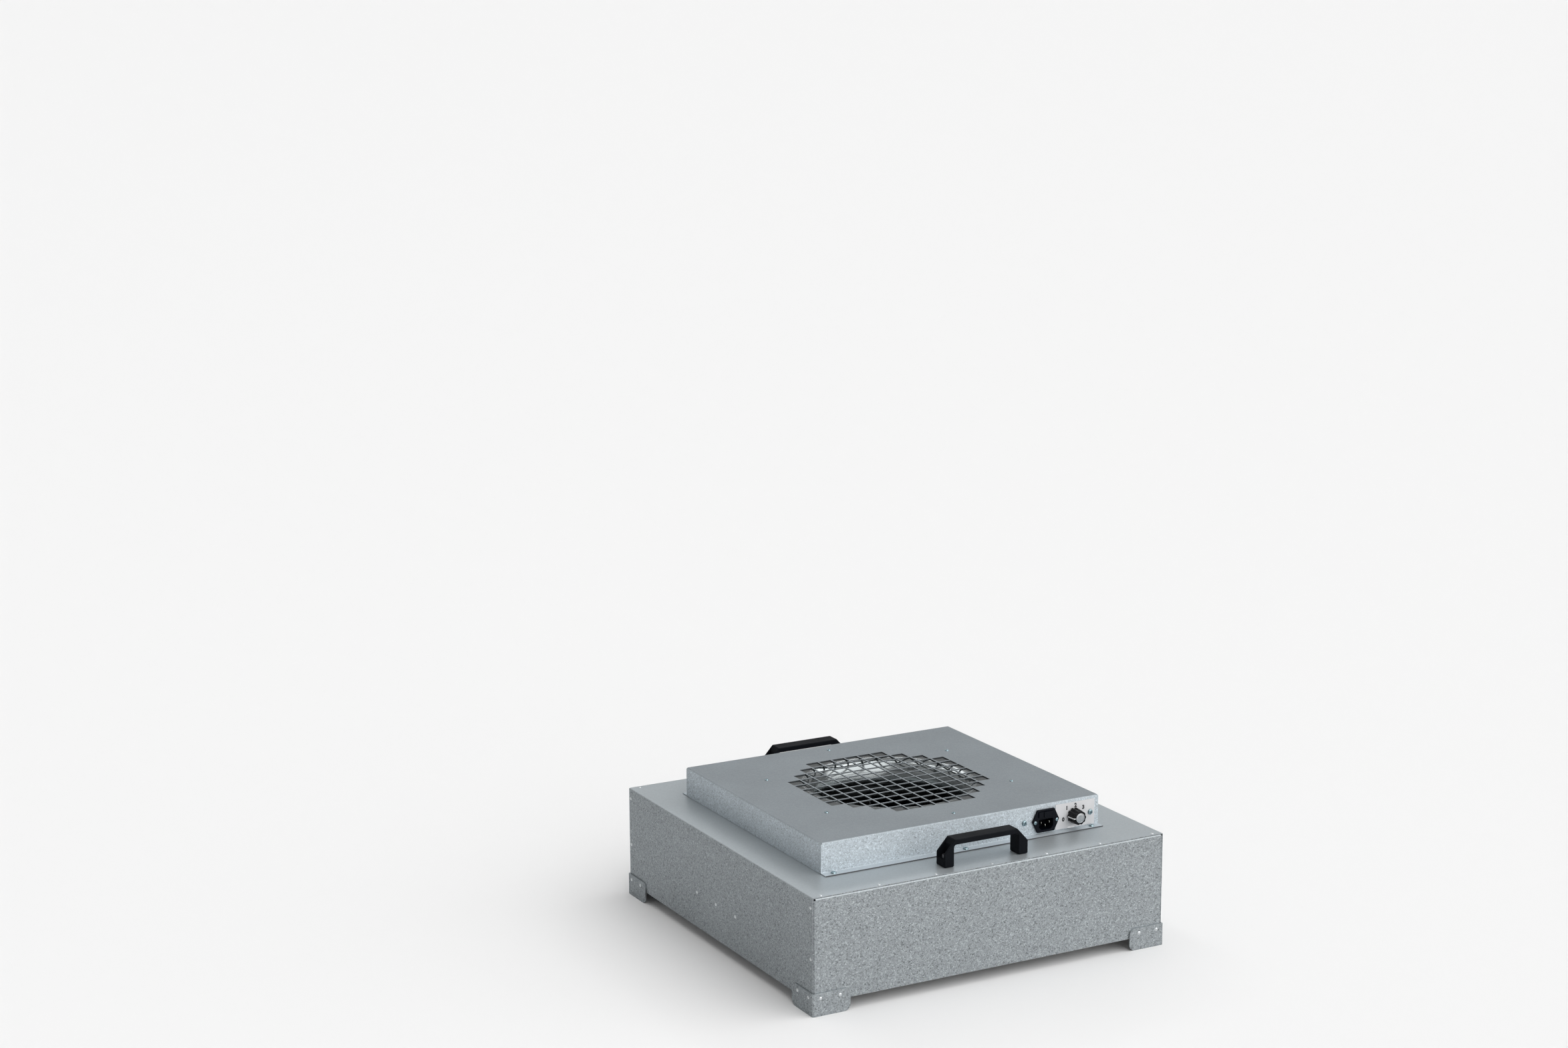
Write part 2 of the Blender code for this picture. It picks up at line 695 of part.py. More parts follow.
def blade_mesh():
    """One backward-curved blade that stands on the backplate and fits under the shroud."""
    tip = IMPELLER_RADIUS - BLADE_TIP_MARGIN
    top_start = (BLADE_TOP_INNER_RADIUS - BLADE_INNER_RADIUS) / (tip - BLADE_INNER_RADIUS)
    foot = BACKPLATE_BASE + BACKPLATE_SHEET + FIT
    rings = []
    for step in range(BLADE_STEPS + 1):
        ring = []
        for side, level in ((-1, 0), (1, 0), (1, 1), (-1, 1)):
            share = step / BLADE_STEPS
            share = share + level * (1 - share) * top_start
            middle = blade_middle(share)
            ahead = blade_middle(share + BLADE_NUDGE)
            run = (ahead - middle).normalized()
            spot = middle + Vector((-run.y, run.x)) * side * BLADE_SHEET / 2
            height = shroud_underside(spot.length) - BLADE_WELD_GAP if level else foot
            ring.append((spot.x, spot.y, height))
        rings.append(ring)
    return mesh_from(loft(rings), "impeller_blade")


def build_impeller(frame):
    """Backplate, seven blades and the shroud with its neck."""
    inner = ROTOR_RADIUS + FIT
    top = BACKPLATE_BASE + BACKPLATE_SHEET
    plate = [
        (inner, BACKPLATE_BASE),
        (IMPELLER_RADIUS, BACKPLATE_BASE),
        (IMPELLER_RADIUS, top),
        (inner, top),
    ]
    mesh = mesh_from(turned(plate, LARGE_ROUND, closed=True), "impeller_backplate")
    add_piece("impeller_backplate", mesh, "spun_steel", frame, smooth=True)
    curve = [shroud_point(shroud_end() * step / SHROUD_STEPS) for step in range(SHROUD_STEPS + 1)]
    outline = sheet_outline(curve, -SHROUD_SHEET)
    mesh = mesh_from(turned(outline, LARGE_ROUND, closed=True), "impeller_shroud")
    add_piece("impeller_shroud", mesh, "spun_steel", frame, smooth=True)
    blade = blade_mesh()
    for number in range(BLADE_COUNT):
        turn = (0, 0, math.tau * number / BLADE_COUNT)
        copy = blade.copy()
        add_piece(f"impeller_blade_{number + 1}", copy, "spun_steel", frame, rotation=turn, smooth=True)


def build_rotor(frame):
    """Rotor can with its crown and boss, and the shaft that it carries."""
    top = ROTOR_BASE + ROTOR_HEIGHT
    inner = ROTOR_RADIUS - ROTOR_WALL
    rim = ROTOR_BASE + ROTOR_RIM_RISE
    bore = SHAFT_RADIUS + FIT
    crown = top + ROTOR_CROWN
    profile = [
        (inner, ROTOR_BASE),
        (ROTOR_RADIUS, ROTOR_BASE),
        (ROTOR_RADIUS, rim),
        (ROTOR_RADIUS + ROTOR_RIM_WIDTH, rim),
        (ROTOR_RADIUS + ROTOR_RIM_WIDTH, rim + ROTOR_RIM_THICKNESS),
        (ROTOR_RADIUS, rim + ROTOR_RIM_THICKNESS),
        (ROTOR_RADIUS, top),
        (ROTOR_RADIUS - ROTOR_CROWN / 2, top + ROTOR_CROWN / 2),
        (CROWN_RADIUS + CROWN_SLOPE, top + ROTOR_CROWN / 2),
        (CROWN_RADIUS, crown),
        (BOSS_RADIUS, crown),
        (BOSS_RADIUS, crown + BOSS_HEIGHT),
        (bore, crown + BOSS_HEIGHT),
        (bore, top),
        (inner, top),
    ]
    mesh = mesh_from(turned(profile, MEDIUM_ROUND, closed=True), "rotor_can")
    add_piece("rotor_can", mesh, "aluminium", frame, smooth=True)
    low = MOTOR_BASE + BEARING_RISE - FIT - COLLAR_HEIGHT
    collar = SHAFT_RADIUS + COLLAR_WIDTH
    shaft = [
        (0, low - COLLAR_HEIGHT),
        (SHAFT_RADIUS, low - COLLAR_HEIGHT),
        (SHAFT_RADIUS, low),
        (collar, low),
        (collar, low + COLLAR_HEIGHT),
        (SHAFT_RADIUS, low + COLLAR_HEIGHT),
        (SHAFT_RADIUS, crown + BOSS_HEIGHT - COLLAR_HEIGHT),
        (0, crown + BOSS_HEIGHT - COLLAR_HEIGHT),
    ]
    mesh = mesh_from(turned(shaft, SMALL_ROUND), "motor_shaft")
    add_piece("motor_shaft", mesh, "steel", frame, smooth=True)


def build_stator(frame):
    """Fixed half of the motor: base flange with its bearing tube, wound stack and two bearings."""
    seat = BEARING_RADIUS + FIT
    shoulder = BEARING_RADIUS - COLLAR_WIDTH
    tube_top = MOTOR_BASE + BASE_TUBE_HEIGHT
    lower_seat = MOTOR_BASE + BEARING_RISE + BEARING_WIDTH + FIT
    upper_seat = tube_top - BEARING_WIDTH - FIT
    base = [
        (seat, MOTOR_BASE),
        (BASE_RADIUS, MOTOR_BASE),
        (BASE_RADIUS, MOTOR_BASE + BASE_THICKNESS),
        (BASE_TUBE_RADIUS, MOTOR_BASE + BASE_THICKNESS),
        (BASE_TUBE_RADIUS, tube_top),
        (seat, tube_top),
        (seat, upper_seat),
        (shoulder, upper_seat),
        (shoulder, lower_seat),
        (seat, lower_seat),
    ]
    mesh = mesh_from(turned(base, MEDIUM_ROUND, closed=True), "motor_base")
    add_piece("motor_base", mesh, "aluminium", frame, smooth=True)
    bore = BASE_TUBE_RADIUS + FIT
    outer = ROTOR_RADIUS - ROTOR_WALL - AIR_GAP
    low = MOTOR_BASE + BASE_THICKNESS + STACK_RISE
    high = low + STACK_HEIGHT
    stack = [
        (bore, low),
        (bore + WINDING_MARGIN, low - WINDING_HEIGHT),
        (outer - WINDING_MARGIN, low - WINDING_HEIGHT),
        (outer - WINDING_MARGIN, low),
        (outer, low),
        (outer, high),
        (outer - WINDING_MARGIN, high),
        (outer - WINDING_MARGIN, high + WINDING_HEIGHT),
        (bore + WINDING_MARGIN, high + WINDING_HEIGHT),
        (bore, high),
    ]
    mesh = mesh_from(turned(stack, MEDIUM_ROUND, closed=True), "stator_core")
    add_piece("stator_core", mesh, "copper", frame, smooth=True)
    for name, height in (
        ("bearing_lower", MOTOR_BASE + BEARING_RISE),
        ("bearing_upper", tube_top - BEARING_WIDTH),
    ):
        inner = SHAFT_RADIUS + FIT
        ring = [(inner, 0), (BEARING_RADIUS, 0), (BEARING_RADIUS, BEARING_WIDTH), (inner, BEARING_WIDTH)]
        mesh = mesh_from(turned(ring, SMALL_ROUND, closed=True), name)
        add_piece(name, mesh, "steel", frame, (0, 0, height), smooth=True)


def build_motor_bracket(frame):
    """Channel across the housing that carries the motor: lips along it, a riveted tab at each end."""
    half_x = HOUSING_WIDTH / 2 - SHEET - FIT - SHEET - FIT
    half_y = CHANNEL_WIDTH / 2
    edge_x, edge_y = half_x - FOLD_RADIUS, half_y - FOLD_RADIUS
    skin = Skin()
    columns = [-edge_x, FOLD_RELIEF - edge_x, edge_x - FOLD_RELIEF, edge_x]
    rows = [-edge_y, FOLD_RELIEF - edge_y, edge_y - FOLD_RELIEF, edge_y]
    skin.grid(columns, rows, CHANNEL_BASE, "Z")
    for side in (-1, 1):
        lip = [
            (side * edge_y, CHANNEL_BASE),
            (side * half_y, CHANNEL_BASE),
            (side * half_y, CHANNEL_BASE + CHANNEL_LIP),
        ]
        skin.sweep(round_path(lip, [FOLD_RADIUS]), columns[1:3], "X")
        tab = [
            (side * edge_x, CHANNEL_BASE),
            (side * half_x, CHANNEL_BASE),
            (side * half_x, CHANNEL_BASE + CHANNEL_TAB),
        ]
        skin.sweep(round_path(tab, [FOLD_RADIUS]), rows[1:3], "Y")
    piece = add_piece("motor_bracket", skin.mesh("motor_bracket", (0, 0, -1)), "galvanised", frame)
    thicken(piece, CHANNEL_SHEET)


def build_capacitor(frame):
    """Run capacitor lying on the channel, under its clip."""
    shoulder = CAPACITOR_LENGTH - CAPACITOR_EDGE
    profile = [
        (0, 0),
        (CAPACITOR_RADIUS - CAPACITOR_EDGE, 0),
        (CAPACITOR_RADIUS, CAPACITOR_EDGE),
        (CAPACITOR_RADIUS, shoulder),
        (CAPACITOR_NECK_RADIUS, shoulder),
        (CAPACITOR_NECK_RADIUS, CAPACITOR_LENGTH),
        (0, CAPACITOR_LENGTH),
    ]
    axis_height = CHANNEL_TOP + FIT + CAPACITOR_RADIUS
    mesh = mesh_from(turned(profile, SMALL_ROUND), "run_capacitor")
    place = (CAPACITOR_X, 0, axis_height)
    add_piece("run_capacitor", mesh, "white_paint", frame, place, (0, math.pi / 2, 0), smooth=True)
    hoop = CAPACITOR_RADIUS + FIT
    foot = CHANNEL_TOP + FIT - axis_height
    angles = [math.pi * (1 - step / CLIP_STEPS) for step in range(CLIP_STEPS + 1)]
    arc = [(hoop * math.cos(angle), hoop * math.sin(angle)) for angle in angles]
    path = [(-hoop - CLIP_FOOT, foot), (-hoop, foot), *arc, (hoop, foot), (hoop + CLIP_FOOT, foot)]
    middle = CAPACITOR_X + CAPACITOR_LENGTH / 2
    clip = prism(sheet_outline(path, CLIP_SHEET), -CLIP_WIDTH / 2, CLIP_WIDTH / 2, "X")
    mesh = mesh_from(clip, "capacitor_clip")
    add_piece("capacitor_clip", mesh, "steel", frame, (middle, 0, axis_height))


def rail_mesh(half_length, name):
    """Filter frame rail: a channel that opens inwards, mitred at both ends."""
    corners = [(RAIL_LIP, FILTER_DEPTH), (0, FILTER_DEPTH), (0, 0), (RAIL_LIP, 0)]
    outline = sheet_outline(corners, RAIL_WALL)
    ends = [
        [(side * (half_length - u - FIT / 2), u, v) for u, v in outline] for side in (-1, 1)
    ]
    return mesh_from(loft(ends), name)


def pleat_outline(half_run, low, high):
    """Outline of the folded filter paper: a saw-tooth and the same a paper's height lower."""
    upper = []
    for index in range(2 * PLEAT_COUNT + 1):
        run = -half_run + 2 * half_run * index / (2 * PLEAT_COUNT)
        upper.append((run, high if index % 2 else low + PLEAT_TIP))
    return upper + [(run, height - PLEAT_TIP) for run, height in reversed(upper)]


def build_filter(frame):
    """Filter: four mitred rails round the pleated paper and its guard, with the gasket on top."""
    half_x = HOUSING_WIDTH / 2 - SHEET - FILTER_PLAY
    half_y = HOUSING_DEPTH / 2 - SHEET - FILTER_PLAY
    for name, place, turn, half in (
        ("filter_rail_front", (0, -half_y), 0, half_x),
        ("filter_rail_rear", (0, half_y), math.pi, half_x),
        ("filter_rail_left", (-half_x, 0), -math.pi / 2, half_y),
        ("filter_rail_right", (half_x, 0), math.pi / 2, half_y),
    ):
        mesh = rail_mesh(half, name)
        add_piece(name, mesh, "aluminium", frame, (*place, FOOT_DROP), (0, 0, turn))
    inner_x, inner_y = half_x - RAIL_WALL - FIT, half_y - RAIL_WALL - FIT
    guard_top = FOOT_DROP + RAIL_WALL + FIT + GUARD_SHEET
    skin = Skin()
    window_x, window_y = half_x - RAIL_LIP, half_y - RAIL_LIP
    pitches = (2 * window_x / GUARD_CELLS, 2 * window_y / GUARD_CELLS)
    rows = [GUARD_CELLS] * GUARD_CELLS
    grille_plate(skin, inner_x, inner_y, guard_top, pitches, GUARD_BAR, rows)
    piece = add_piece("filter_guard", skin.mesh("filter_guard", (0, 0, 1)), "white_paint", frame)
    thicken(piece, GUARD_SHEET)
    low, high = guard_top + FIT, FILTER_TOP - RAIL_WALL - FIT
    paper = prism(pleat_outline(inner_y, low, high), -inner_x, inner_x, "X")
    add_piece("filter_pleats", mesh_from(paper, "filter_pleats"), "media", frame)
    rings = []
    for inset, height in ((0, 0), (0, GASKET_HEIGHT), (GASKET_WIDTH, GASKET_HEIGHT), (GASKET_WIDTH, 0)):
        outline = rectangle(half_x - inset, half_y - inset)
        rings.append([(x, y, FILTER_TOP + FIT + height) for x, y in outline])
    mesh = mesh_from(loft(rings, closed=True), "filter_gasket")
    add_piece("filter_gasket", mesh, "foam", frame)


def build_ledges(frame):
    """Four angles inside the walls that the filter's gasket is pressed against."""
    outline = sheet_outline(
        round_path([(0, LEDGE_UPRIGHT), (0, 0), (LEDGE_LEG, 0)], [FOLD_RADIUS]), SHEET
    )
    wall_x = HOUSING_WIDTH / 2 - SHEET - FIT
    wall_y = HOUSING_DEPTH / 2 - SHEET - FIT
    long_half = wall_x - SHEET - FIT
    short_half = wall_y - LEDGE_LEG - FIT
    for name, place, turn, half in (
        ("filter_ledge_front", (0, -wall_y), 0, long_half),
        ("filter_ledge_rear", (0, wall_y), math.pi, long_half),
        ("filter_ledge_left", (-wall_x, 0), -math.pi / 2, short_half),
        ("filter_ledge_right", (wall_x, 0), math.pi / 2, short_half),
    ):
        mesh = mesh_from(prism(outline, -half, half, "X"), name)
        add_piece(name, mesh, "galvanised", frame, (*place, LEDGE_BASE), (0, 0, turn))


def handle_bolt_places():
    """Plan positions of the four handle bolts."""
    reach = HANDLE_LENGTH / 2 - HANDLE_LEG / 2
    return [(x, y) for y in (-HANDLE_Y, HANDLE_Y) for x in (-reach, reach)]


def handle_mesh():
    """Bridge handle seen from the front and extruded: sloped shoulders and a finger gap."""
    outer, inner = HANDLE_LENGTH / 2, HANDLE_LENGTH / 2 - HANDLE_LEG
    under = HANDLE_HEIGHT - GRIP_THICKNESS
    corners = [
        (outer, 0),
        (outer, HANDLE_SHOULDER),
        (outer - HANDLE_SLOPE, HANDLE_HEIGHT),
        (HANDLE_SLOPE - outer, HANDLE_HEIGHT),
        (-outer, HANDLE_SHOULDER),
        (-outer, 0),
        (-inner, 0),
        (-inner, under),
        (inner, under),
        (inner, 0),
    ]
    radii = [0, 0, 0, 0, 0, 0, FINGER_GAP_RADIUS, FINGER_GAP_RADIUS]
    outline = [tuple(point) for point in round_path(corners, radii)]
    return mesh_from(prism(outline, -HANDLE_DEPTH / 2, HANDLE_DEPTH / 2, "Y"), "handle")


def build_handle(name, frame, y):
    """One handle, with a pocket in each sloped end that shows the head of its bolt."""
    base = (0, y, HOUSING_TOP + FIT)
    piece = add_piece(name, handle_mesh(), "black_plastic", frame, base, smooth=True)
    bevel = piece.modifiers.new("edges", "BEVEL")
    bevel.width = HANDLE_EDGE
    bevel.segments = 1
    bevel.limit_method = "ANGLE"
    outer = HANDLE_LENGTH / 2
    back = outer - HANDLE_LEG + POCKET_BACK
    beyond = outer + HANDLE_LEG
    above = HANDLE_HEIGHT + HANDLE_LEG
    bend = HANDLE_HEIGHT - GRIP_THICKNESS
    cutter = bmesh.new()
    for side in (-1, 1):
        pocket = [
            (side * beyond, POCKET_FLOOR),
            (side * back, POCKET_FLOOR),
            (side * back, bend),
            (side * (outer - HANDLE_SLOPE + POCKET_BACK / 2), HANDLE_HEIGHT - POCKET_BACK / 2),
            (side * (outer - HANDLE_SLOPE + POCKET_BACK / 2), above),
            (side * beyond, above),
        ]
        prism(pocket, -POCKET_WIDTH / 2, POCKET_WIDTH / 2, "Y", cutter)
    combine(piece, mesh_from(cutter, "handle_pockets"), "DIFFERENCE")
    bores = bmesh.new()
    for side in (-1, 1):
        bore = circle(BOLT_RADIUS + FIT, BOLT_ROUND, (side * (outer - HANDLE_LEG / 2), 0))
        prism(bore, -POCKET_BACK, POCKET_FLOOR + POCKET_BACK, bm=bores)
    combine(piece, mesh_from(bores, "handle_bores"), "DIFFERENCE")


def build_handle_bolts(frame):
    """Cap screw with its nut under the housing's top, one in each handle leg."""
    seat = HOUSING_TOP + FIT + POCKET_FLOOR + FIT
    under = HOUSING_TOP - SHEET - FIT
    profile = [
        (0, under - NUT_HEIGHT),
        (NUT_RADIUS, under - NUT_HEIGHT),
        (NUT_RADIUS, under),
        (BOLT_RADIUS, under),
        (BOLT_RADIUS, seat),
        (BOLT_HEAD_RADIUS, seat),
        (BOLT_HEAD_RADIUS, seat + BOLT_HEAD_HEIGHT),
        (BOLT_SOCKET_RADIUS, seat + BOLT_HEAD_HEIGHT),
        (BOLT_SOCKET_RADIUS, seat + BOLT_HEAD_HEIGHT - BOLT_SOCKET_DEPTH),
        (0, seat + BOLT_HEAD_HEIGHT - BOLT_SOCKET_DEPTH),
    ]
    for number, (x, y) in enumerate(handle_bolt_places(), 1):
        mesh = mesh_from(turned(profile, BOLT_ROUND), f"handle_bolt_{number}")
        add_piece(f"handle_bolt_{number}", mesh, "steel", frame, (x, y, 0), smooth=True)


def hexagon(half_width, half_height, half_shoulder, grow=0.0):
    """Outline of the inlet's flange: flat at top and bottom, pointed at both sides."""
    return [
        (-half_width - grow, 0),
        (-half_shoulder - grow, -half_height - grow),
        (half_shoulder + grow, -half_height - grow),
        (half_width + grow, 0),
        (half_shoulder + grow, half_height + grow),
        (-half_shoulder - grow, half_height + grow),
    ]


def build_inlet(frame, wall):
    """Power inlet: flange and body in the cover's wall, with the socket, its pins and a drawer slot."""
    centre = (INLET_X, wall, CONTROL_HEIGHT)
    flange = hexagon(INLET_WIDTH / 2, INLET_HEIGHT / 2, INLET_SHOULDER / 2)
    front, seat = -FIT - INLET_FLANGE, -FIT
    mesh = mesh_from(prism(flange, front, seat, "Y"), "inlet_body")
    piece = add_piece("inlet_body", mesh, "black_plastic", frame, centre)
    back = rectangle(INLET_BODY_WIDTH / 2, INLET_BODY_HEIGHT / 2)
    body = prism(back, seat - INLET_FLANGE / 2, INLET_BODY_DEPTH, "Y")
    combine(piece, mesh_from(body, "inlet_back"), "UNION")
    half_w, half_h = SOCKET_WIDTH / 2, SOCKET_HEIGHT / 2
    low, high = -SOCKET_DROP - half_h, -SOCKET_DROP + half_h
    socket = [
        (-half_w, high),
        (-half_w, low + SOCKET_CHAMFER),
        (SOCKET_CHAMFER - half_w, low),
        (half_w - SOCKET_CHAMFER, low),
        (half_w, low + SOCKET_CHAMFER),
        (half_w, high),
    ]
    floor = front + SOCKET_DEPTH
    cutter = prism(socket, 2 * front, floor, "Y")
    slot = rectangle(DRAWER_WIDTH / 2 + FIT, DRAWER_HEIGHT / 2 + FIT, (0, DRAWER_RISE))
    prism(slot, 2 * front, front + DRAWER_DEPTH + 2 * FIT, "Y", cutter)
    combine(piece, mesh_from(cutter, "inlet_hollows"), "DIFFERENCE")
    slots = bmesh.new()
    pins = (
        ("inlet_pin_live", -PIN_SPACING / 2, PIN_OFFSET),
        ("inlet_pin_neutral", PIN_SPACING / 2, PIN_OFFSET),
        ("inlet_pin_earth", 0.0, -PIN_OFFSET),
    )
    tail = INLET_BODY_DEPTH + PIN_TAIL
    for name, x, rise in pins:
        spot = (x, rise - SOCKET_DROP)
        hole = rectangle(PIN_WIDTH / 2 + FIT, PIN_HEIGHT / 2 + FIT, spot)
        prism(hole, floor - PIN_WIDTH, tail, "Y", slots)
        blade = prism(rectangle(PIN_WIDTH / 2, PIN_HEIGHT / 2, spot), front + PIN_RECESS, tail, "Y")
        add_piece(name, mesh_from(blade, name), "brass", frame, centre)
    combine(piece, mesh_from(slots, "pin_slots"), "DIFFERENCE")


def build_fuse_drawer(frame):
    """Drawer that slides out of the inlet with the fuse lying across it."""
    half, face = DRAWER_WIDTH / 2, DRAWER_FACE / 2
    lip = DRAWER_LIP / 2
    front = -DRAWER_FACE_THICKNESS
    outline = [
        (-half, DRAWER_DEPTH),
        (-half, 0),
        (-face, 0),
        (-face, front),
        (-lip, front),
        (-lip, front - DRAWER_LIP_THICKNESS),
        (lip, front - DRAWER_LIP_THICKNESS),
        (lip, front),
        (face, front),
        (face, 0),
        (half, 0),
        (half, DRAWER_DEPTH),
    ]
    solid = prism(outline, -DRAWER_HEIGHT / 2, DRAWER_HEIGHT / 2)
    piece = add_piece("fuse_drawer", mesh_from(solid, "fuse_drawer"), "black_plastic", frame)
    middle = DRAWER_DEPTH / 2
    reach = FUSE_RADIUS + FUSE_CAP_STEP + FIT
    angles = [math.pi * (1 + step / BOLT_ROUND) for step in range(BOLT_ROUND + 1)]
    bed = [(middle + reach * math.cos(angle), reach * math.sin(angle)) for angle in angles]
    trough = [(middle - reach, DRAWER_HEIGHT), *bed, (middle + reach, DRAWER_HEIGHT)]
    length = FUSE_LENGTH / 2 + FIT
    combine(piece, mesh_from(prism(trough, -length, length, "X"), "fuse_trough"), "DIFFERENCE")
    cap = FUSE_RADIUS + FUSE_CAP_STEP
    profile = [
        (0, 0),
        (cap, 0),
        (cap, FUSE_CAP_LENGTH),
        (FUSE_RADIUS, FUSE_CAP_LENGTH),
        (FUSE_RADIUS, FUSE_LENGTH - FUSE_CAP_LENGTH),
        (cap, FUSE_LENGTH - FUSE_CAP_LENGTH),
        (cap, FUSE_LENGTH),
        (0, FUSE_LENGTH),
    ]
    mesh = mesh_from(turned(profile, BOLT_ROUND), "fuse")
    place = (-FUSE_LENGTH / 2, middle, 0)
    add_piece("fuse", mesh, "glass", frame, place, (0, math.pi / 2, 0), smooth=True)


def knob_ring(radius, height, flute_depth=0.0):
    """One ring of the knob, scalloped by its flutes where a depth is given."""
    ring = []
    for x, y in circle(1.0, 4 * KNOB_FLUTES):
        angle = math.atan2(y, x)
        reach = radius - flute_depth * (1 + math.cos(KNOB_FLUTES * angle)) / 2
        ring.append((reach * x, reach * y, height))
    return ring


def build_knob(frame):
    """Speed knob with its turned cap, and the switch spindle that it is pressed on."""
    bore = SPINDLE_RADIUS + FIT
    spindle_top = KNOB_HEIGHT - SPINDLE_COVER
    cap_floor = KNOB_HEIGHT - KNOB_CAP_SEAT - FIT - FIT
    recess = KNOB_CAP_RADIUS + FIT
    rings = [
        [(0, 0, spindle_top + FIT)],
        knob_ring(bore, spindle_top + FIT),
        knob_ring(bore, KNOB_RECESS_DEPTH),
        knob_ring(KNOB_RECESS_RADIUS, KNOB_RECESS_DEPTH),
        knob_ring(KNOB_RECESS_RADIUS, 0),
        knob_ring(KNOB_RADIUS, 0, KNOB_FLUTE_DEPTH),
        knob_ring(KNOB_TOP_RADIUS, KNOB_HEIGHT - KNOB_CHAMFER, KNOB_FLUTE_DEPTH),
        knob_ring(KNOB_TOP_RADIUS - KNOB_CHAMFER, KNOB_HEIGHT, KNOB_FLUTE_DEPTH / 2),
        knob_ring(recess, KNOB_HEIGHT),
        knob_ring(recess, cap_floor),
        [(0, 0, cap_floor)],
    ]
    mesh = mesh_from(loft(rings), "speed_knob")
    add_piece("speed_knob", mesh, "black_plastic", frame, rotation=FACE_FRONT, smooth=True)
    low = cap_floor + FIT
    cap = [
        (0, low),
        (KNOB_CAP_RADIUS, low),
        (KNOB_CAP_RADIUS, low + KNOB_CAP_THICKNESS - KNOB_CAP_EDGE),
        (KNOB_CAP_RADIUS - KNOB_CAP_EDGE, low + KNOB_CAP_THICKNESS),
        (0, low + KNOB_CAP_THICKNESS - KNOB_CAP_DISH),
    ]
    mesh = mesh_from(turned(cap, 2 * SMALL_ROUND), "knob_cap")
    add_piece("knob_cap", mesh, "aluminium", frame, rotation=FACE_FRONT, smooth=True)
    spindle = [
        (0, -SPINDLE_DEPTH),
        (SPINDLE_RADIUS, -SPINDLE_DEPTH),
        (SPINDLE_RADIUS, spindle_top),
        (0, spindle_top),
    ]
    mesh = mesh_from(turned(spindle, SMALL_ROUND), "switch_spindle")
    add_piece("switch_spindle", mesh, "steel", frame, rotation=FACE_FRONT, smooth=True)


def build_switch(frame, wall, knob_back):
    """Rotary switch behind the wall, its bushing through the wall and the nut on the bushing."""
    centre = (KNOB_X, wall, CONTROL_HEIGHT)
    behind = -SHEET - FIT
    block = prism(rectangle(SWITCH_SIZE / 2, SWITCH_SIZE / 2), behind - SWITCH_DEPTH, behind)
    mesh = mesh_from(block, "switch_body")
    piece = add_piece("switch_body", mesh, "black_plastic", frame, centre, FACE_FRONT)
    bushing = prism(circle(BUSHING_RADIUS, SMALL_ROUND), behind - SHEET, BUSHING_LENGTH)
    combine(piece, mesh_from(bushing, "switch_bushing"), "UNION")
    end = knob_back - SPINDLE_DEPTH - FIT
    bore = prism(circle(SPINDLE_RADIUS + FIT, SMALL_ROUND), end, 2 * BUSHING_LENGTH)
    combine(piece, mesh_from(bore, "switch_bore"), "DIFFERENCE")
    low = FIT + LABEL_THICKNESS + FIT
    corners = [Vector(corner) for corner in circle(SWITCH_NUT_RADIUS, HEXAGON_SIDES)]
    hexagonal = []
    for start, after in zip(corners, corners[1:] + corners[:1]):
        hexagonal += [start.lerp(after, step / NUT_STEPS) for step in range(NUT_STEPS)]
    inner = circle(BUSHING_RADIUS + FIT, HEXAGON_SIDES * NUT_STEPS)
    rings = []
    for outline, height in (
        (hexagonal, low),
        (hexagonal, low + SWITCH_NUT_HEIGHT),
        (inner, low + SWITCH_NUT_HEIGHT),
        (inner, low),
    ):
        rings.append([(u, v, height) for u, v in outline])
    mesh = mesh_from(loft(rings, closed=True), "switch_nut")
    add_piece("switch_nut", mesh, "steel", frame, centre, FACE_FRONT)


def build_label(frame, wall):
    """Label plate on the wall, notched round the inlet's flange, with a hole for the bushing."""
    half = LABEL_WIDTH / 2
    middle = LABEL_RIGHT - half
    outline = rectangle(half, LABEL_HEIGHT / 2, (middle, HOUSING_TOP + LABEL_RISE))
    plate = prism(outline, -FIT - LABEL_THICKNESS, -FIT, "Y")
    piece = add_piece("label_plate", mesh_from(plate, "label_plate"), "label_film", frame, (0, wall, 0))
    grown = hexagon(INLET_WIDTH / 2, INLET_HEIGHT / 2, INLET_SHOULDER / 2, LOOSE_FIT)
    notch = [(u + INLET_X, v + CONTROL_HEIGHT) for u, v in grown]
    cutter = prism(notch, -INLET_FLANGE, INLET_FLANGE, "Y")
    hole = circle(BUSHING_RADIUS + FIT, SMALL_ROUND, (KNOB_X, CONTROL_HEIGHT))
    prism(hole, -INLET_FLANGE, INLET_FLANGE, "Y", cutter)
    combine(piece, mesh_from(cutter, "label_cuts"), "DIFFERENCE")


def build_electrics_box(frame, wall):
    """Box behind the front wall: folded sides and back, tabs that its two screws pull to the wall."""
    inner = SHEET + FIT
    half = BOX_WIDTH / 2
    tab = half + BOX_TAB
    back = inner + BOX_DEPTH
    path = round_path(
        [
            (-tab, inner + SHEET),
            (-half, inner + SHEET),
            (-half, back),
            (half, back),
            (half, inner + SHEET),
            (tab, inner + SHEET),
        ],
        [FOLD_RADIUS - SHEET, FOLD_RADIUS, FOLD_RADIUS, FOLD_RADIUS - SHEET],
    )
    low, high = FIT, FIT + BOX_HEIGHT
    skin = Skin()
    skin.sweep(path, [low, high], "Z")
    shell = [point for point in path if abs(point.x) <= half + SAME_PLACE]
    for height in (low, high):
        skin.face([(u, v, height) for u, v in shell])
    mesh = skin.mesh("electrics_box", (0, 1, 0))
    piece = add_piece("electrics_box", mesh, "galvanised", frame, (BOX_X, wall, HOUSING_TOP))
    thicken(piece, SHEET)


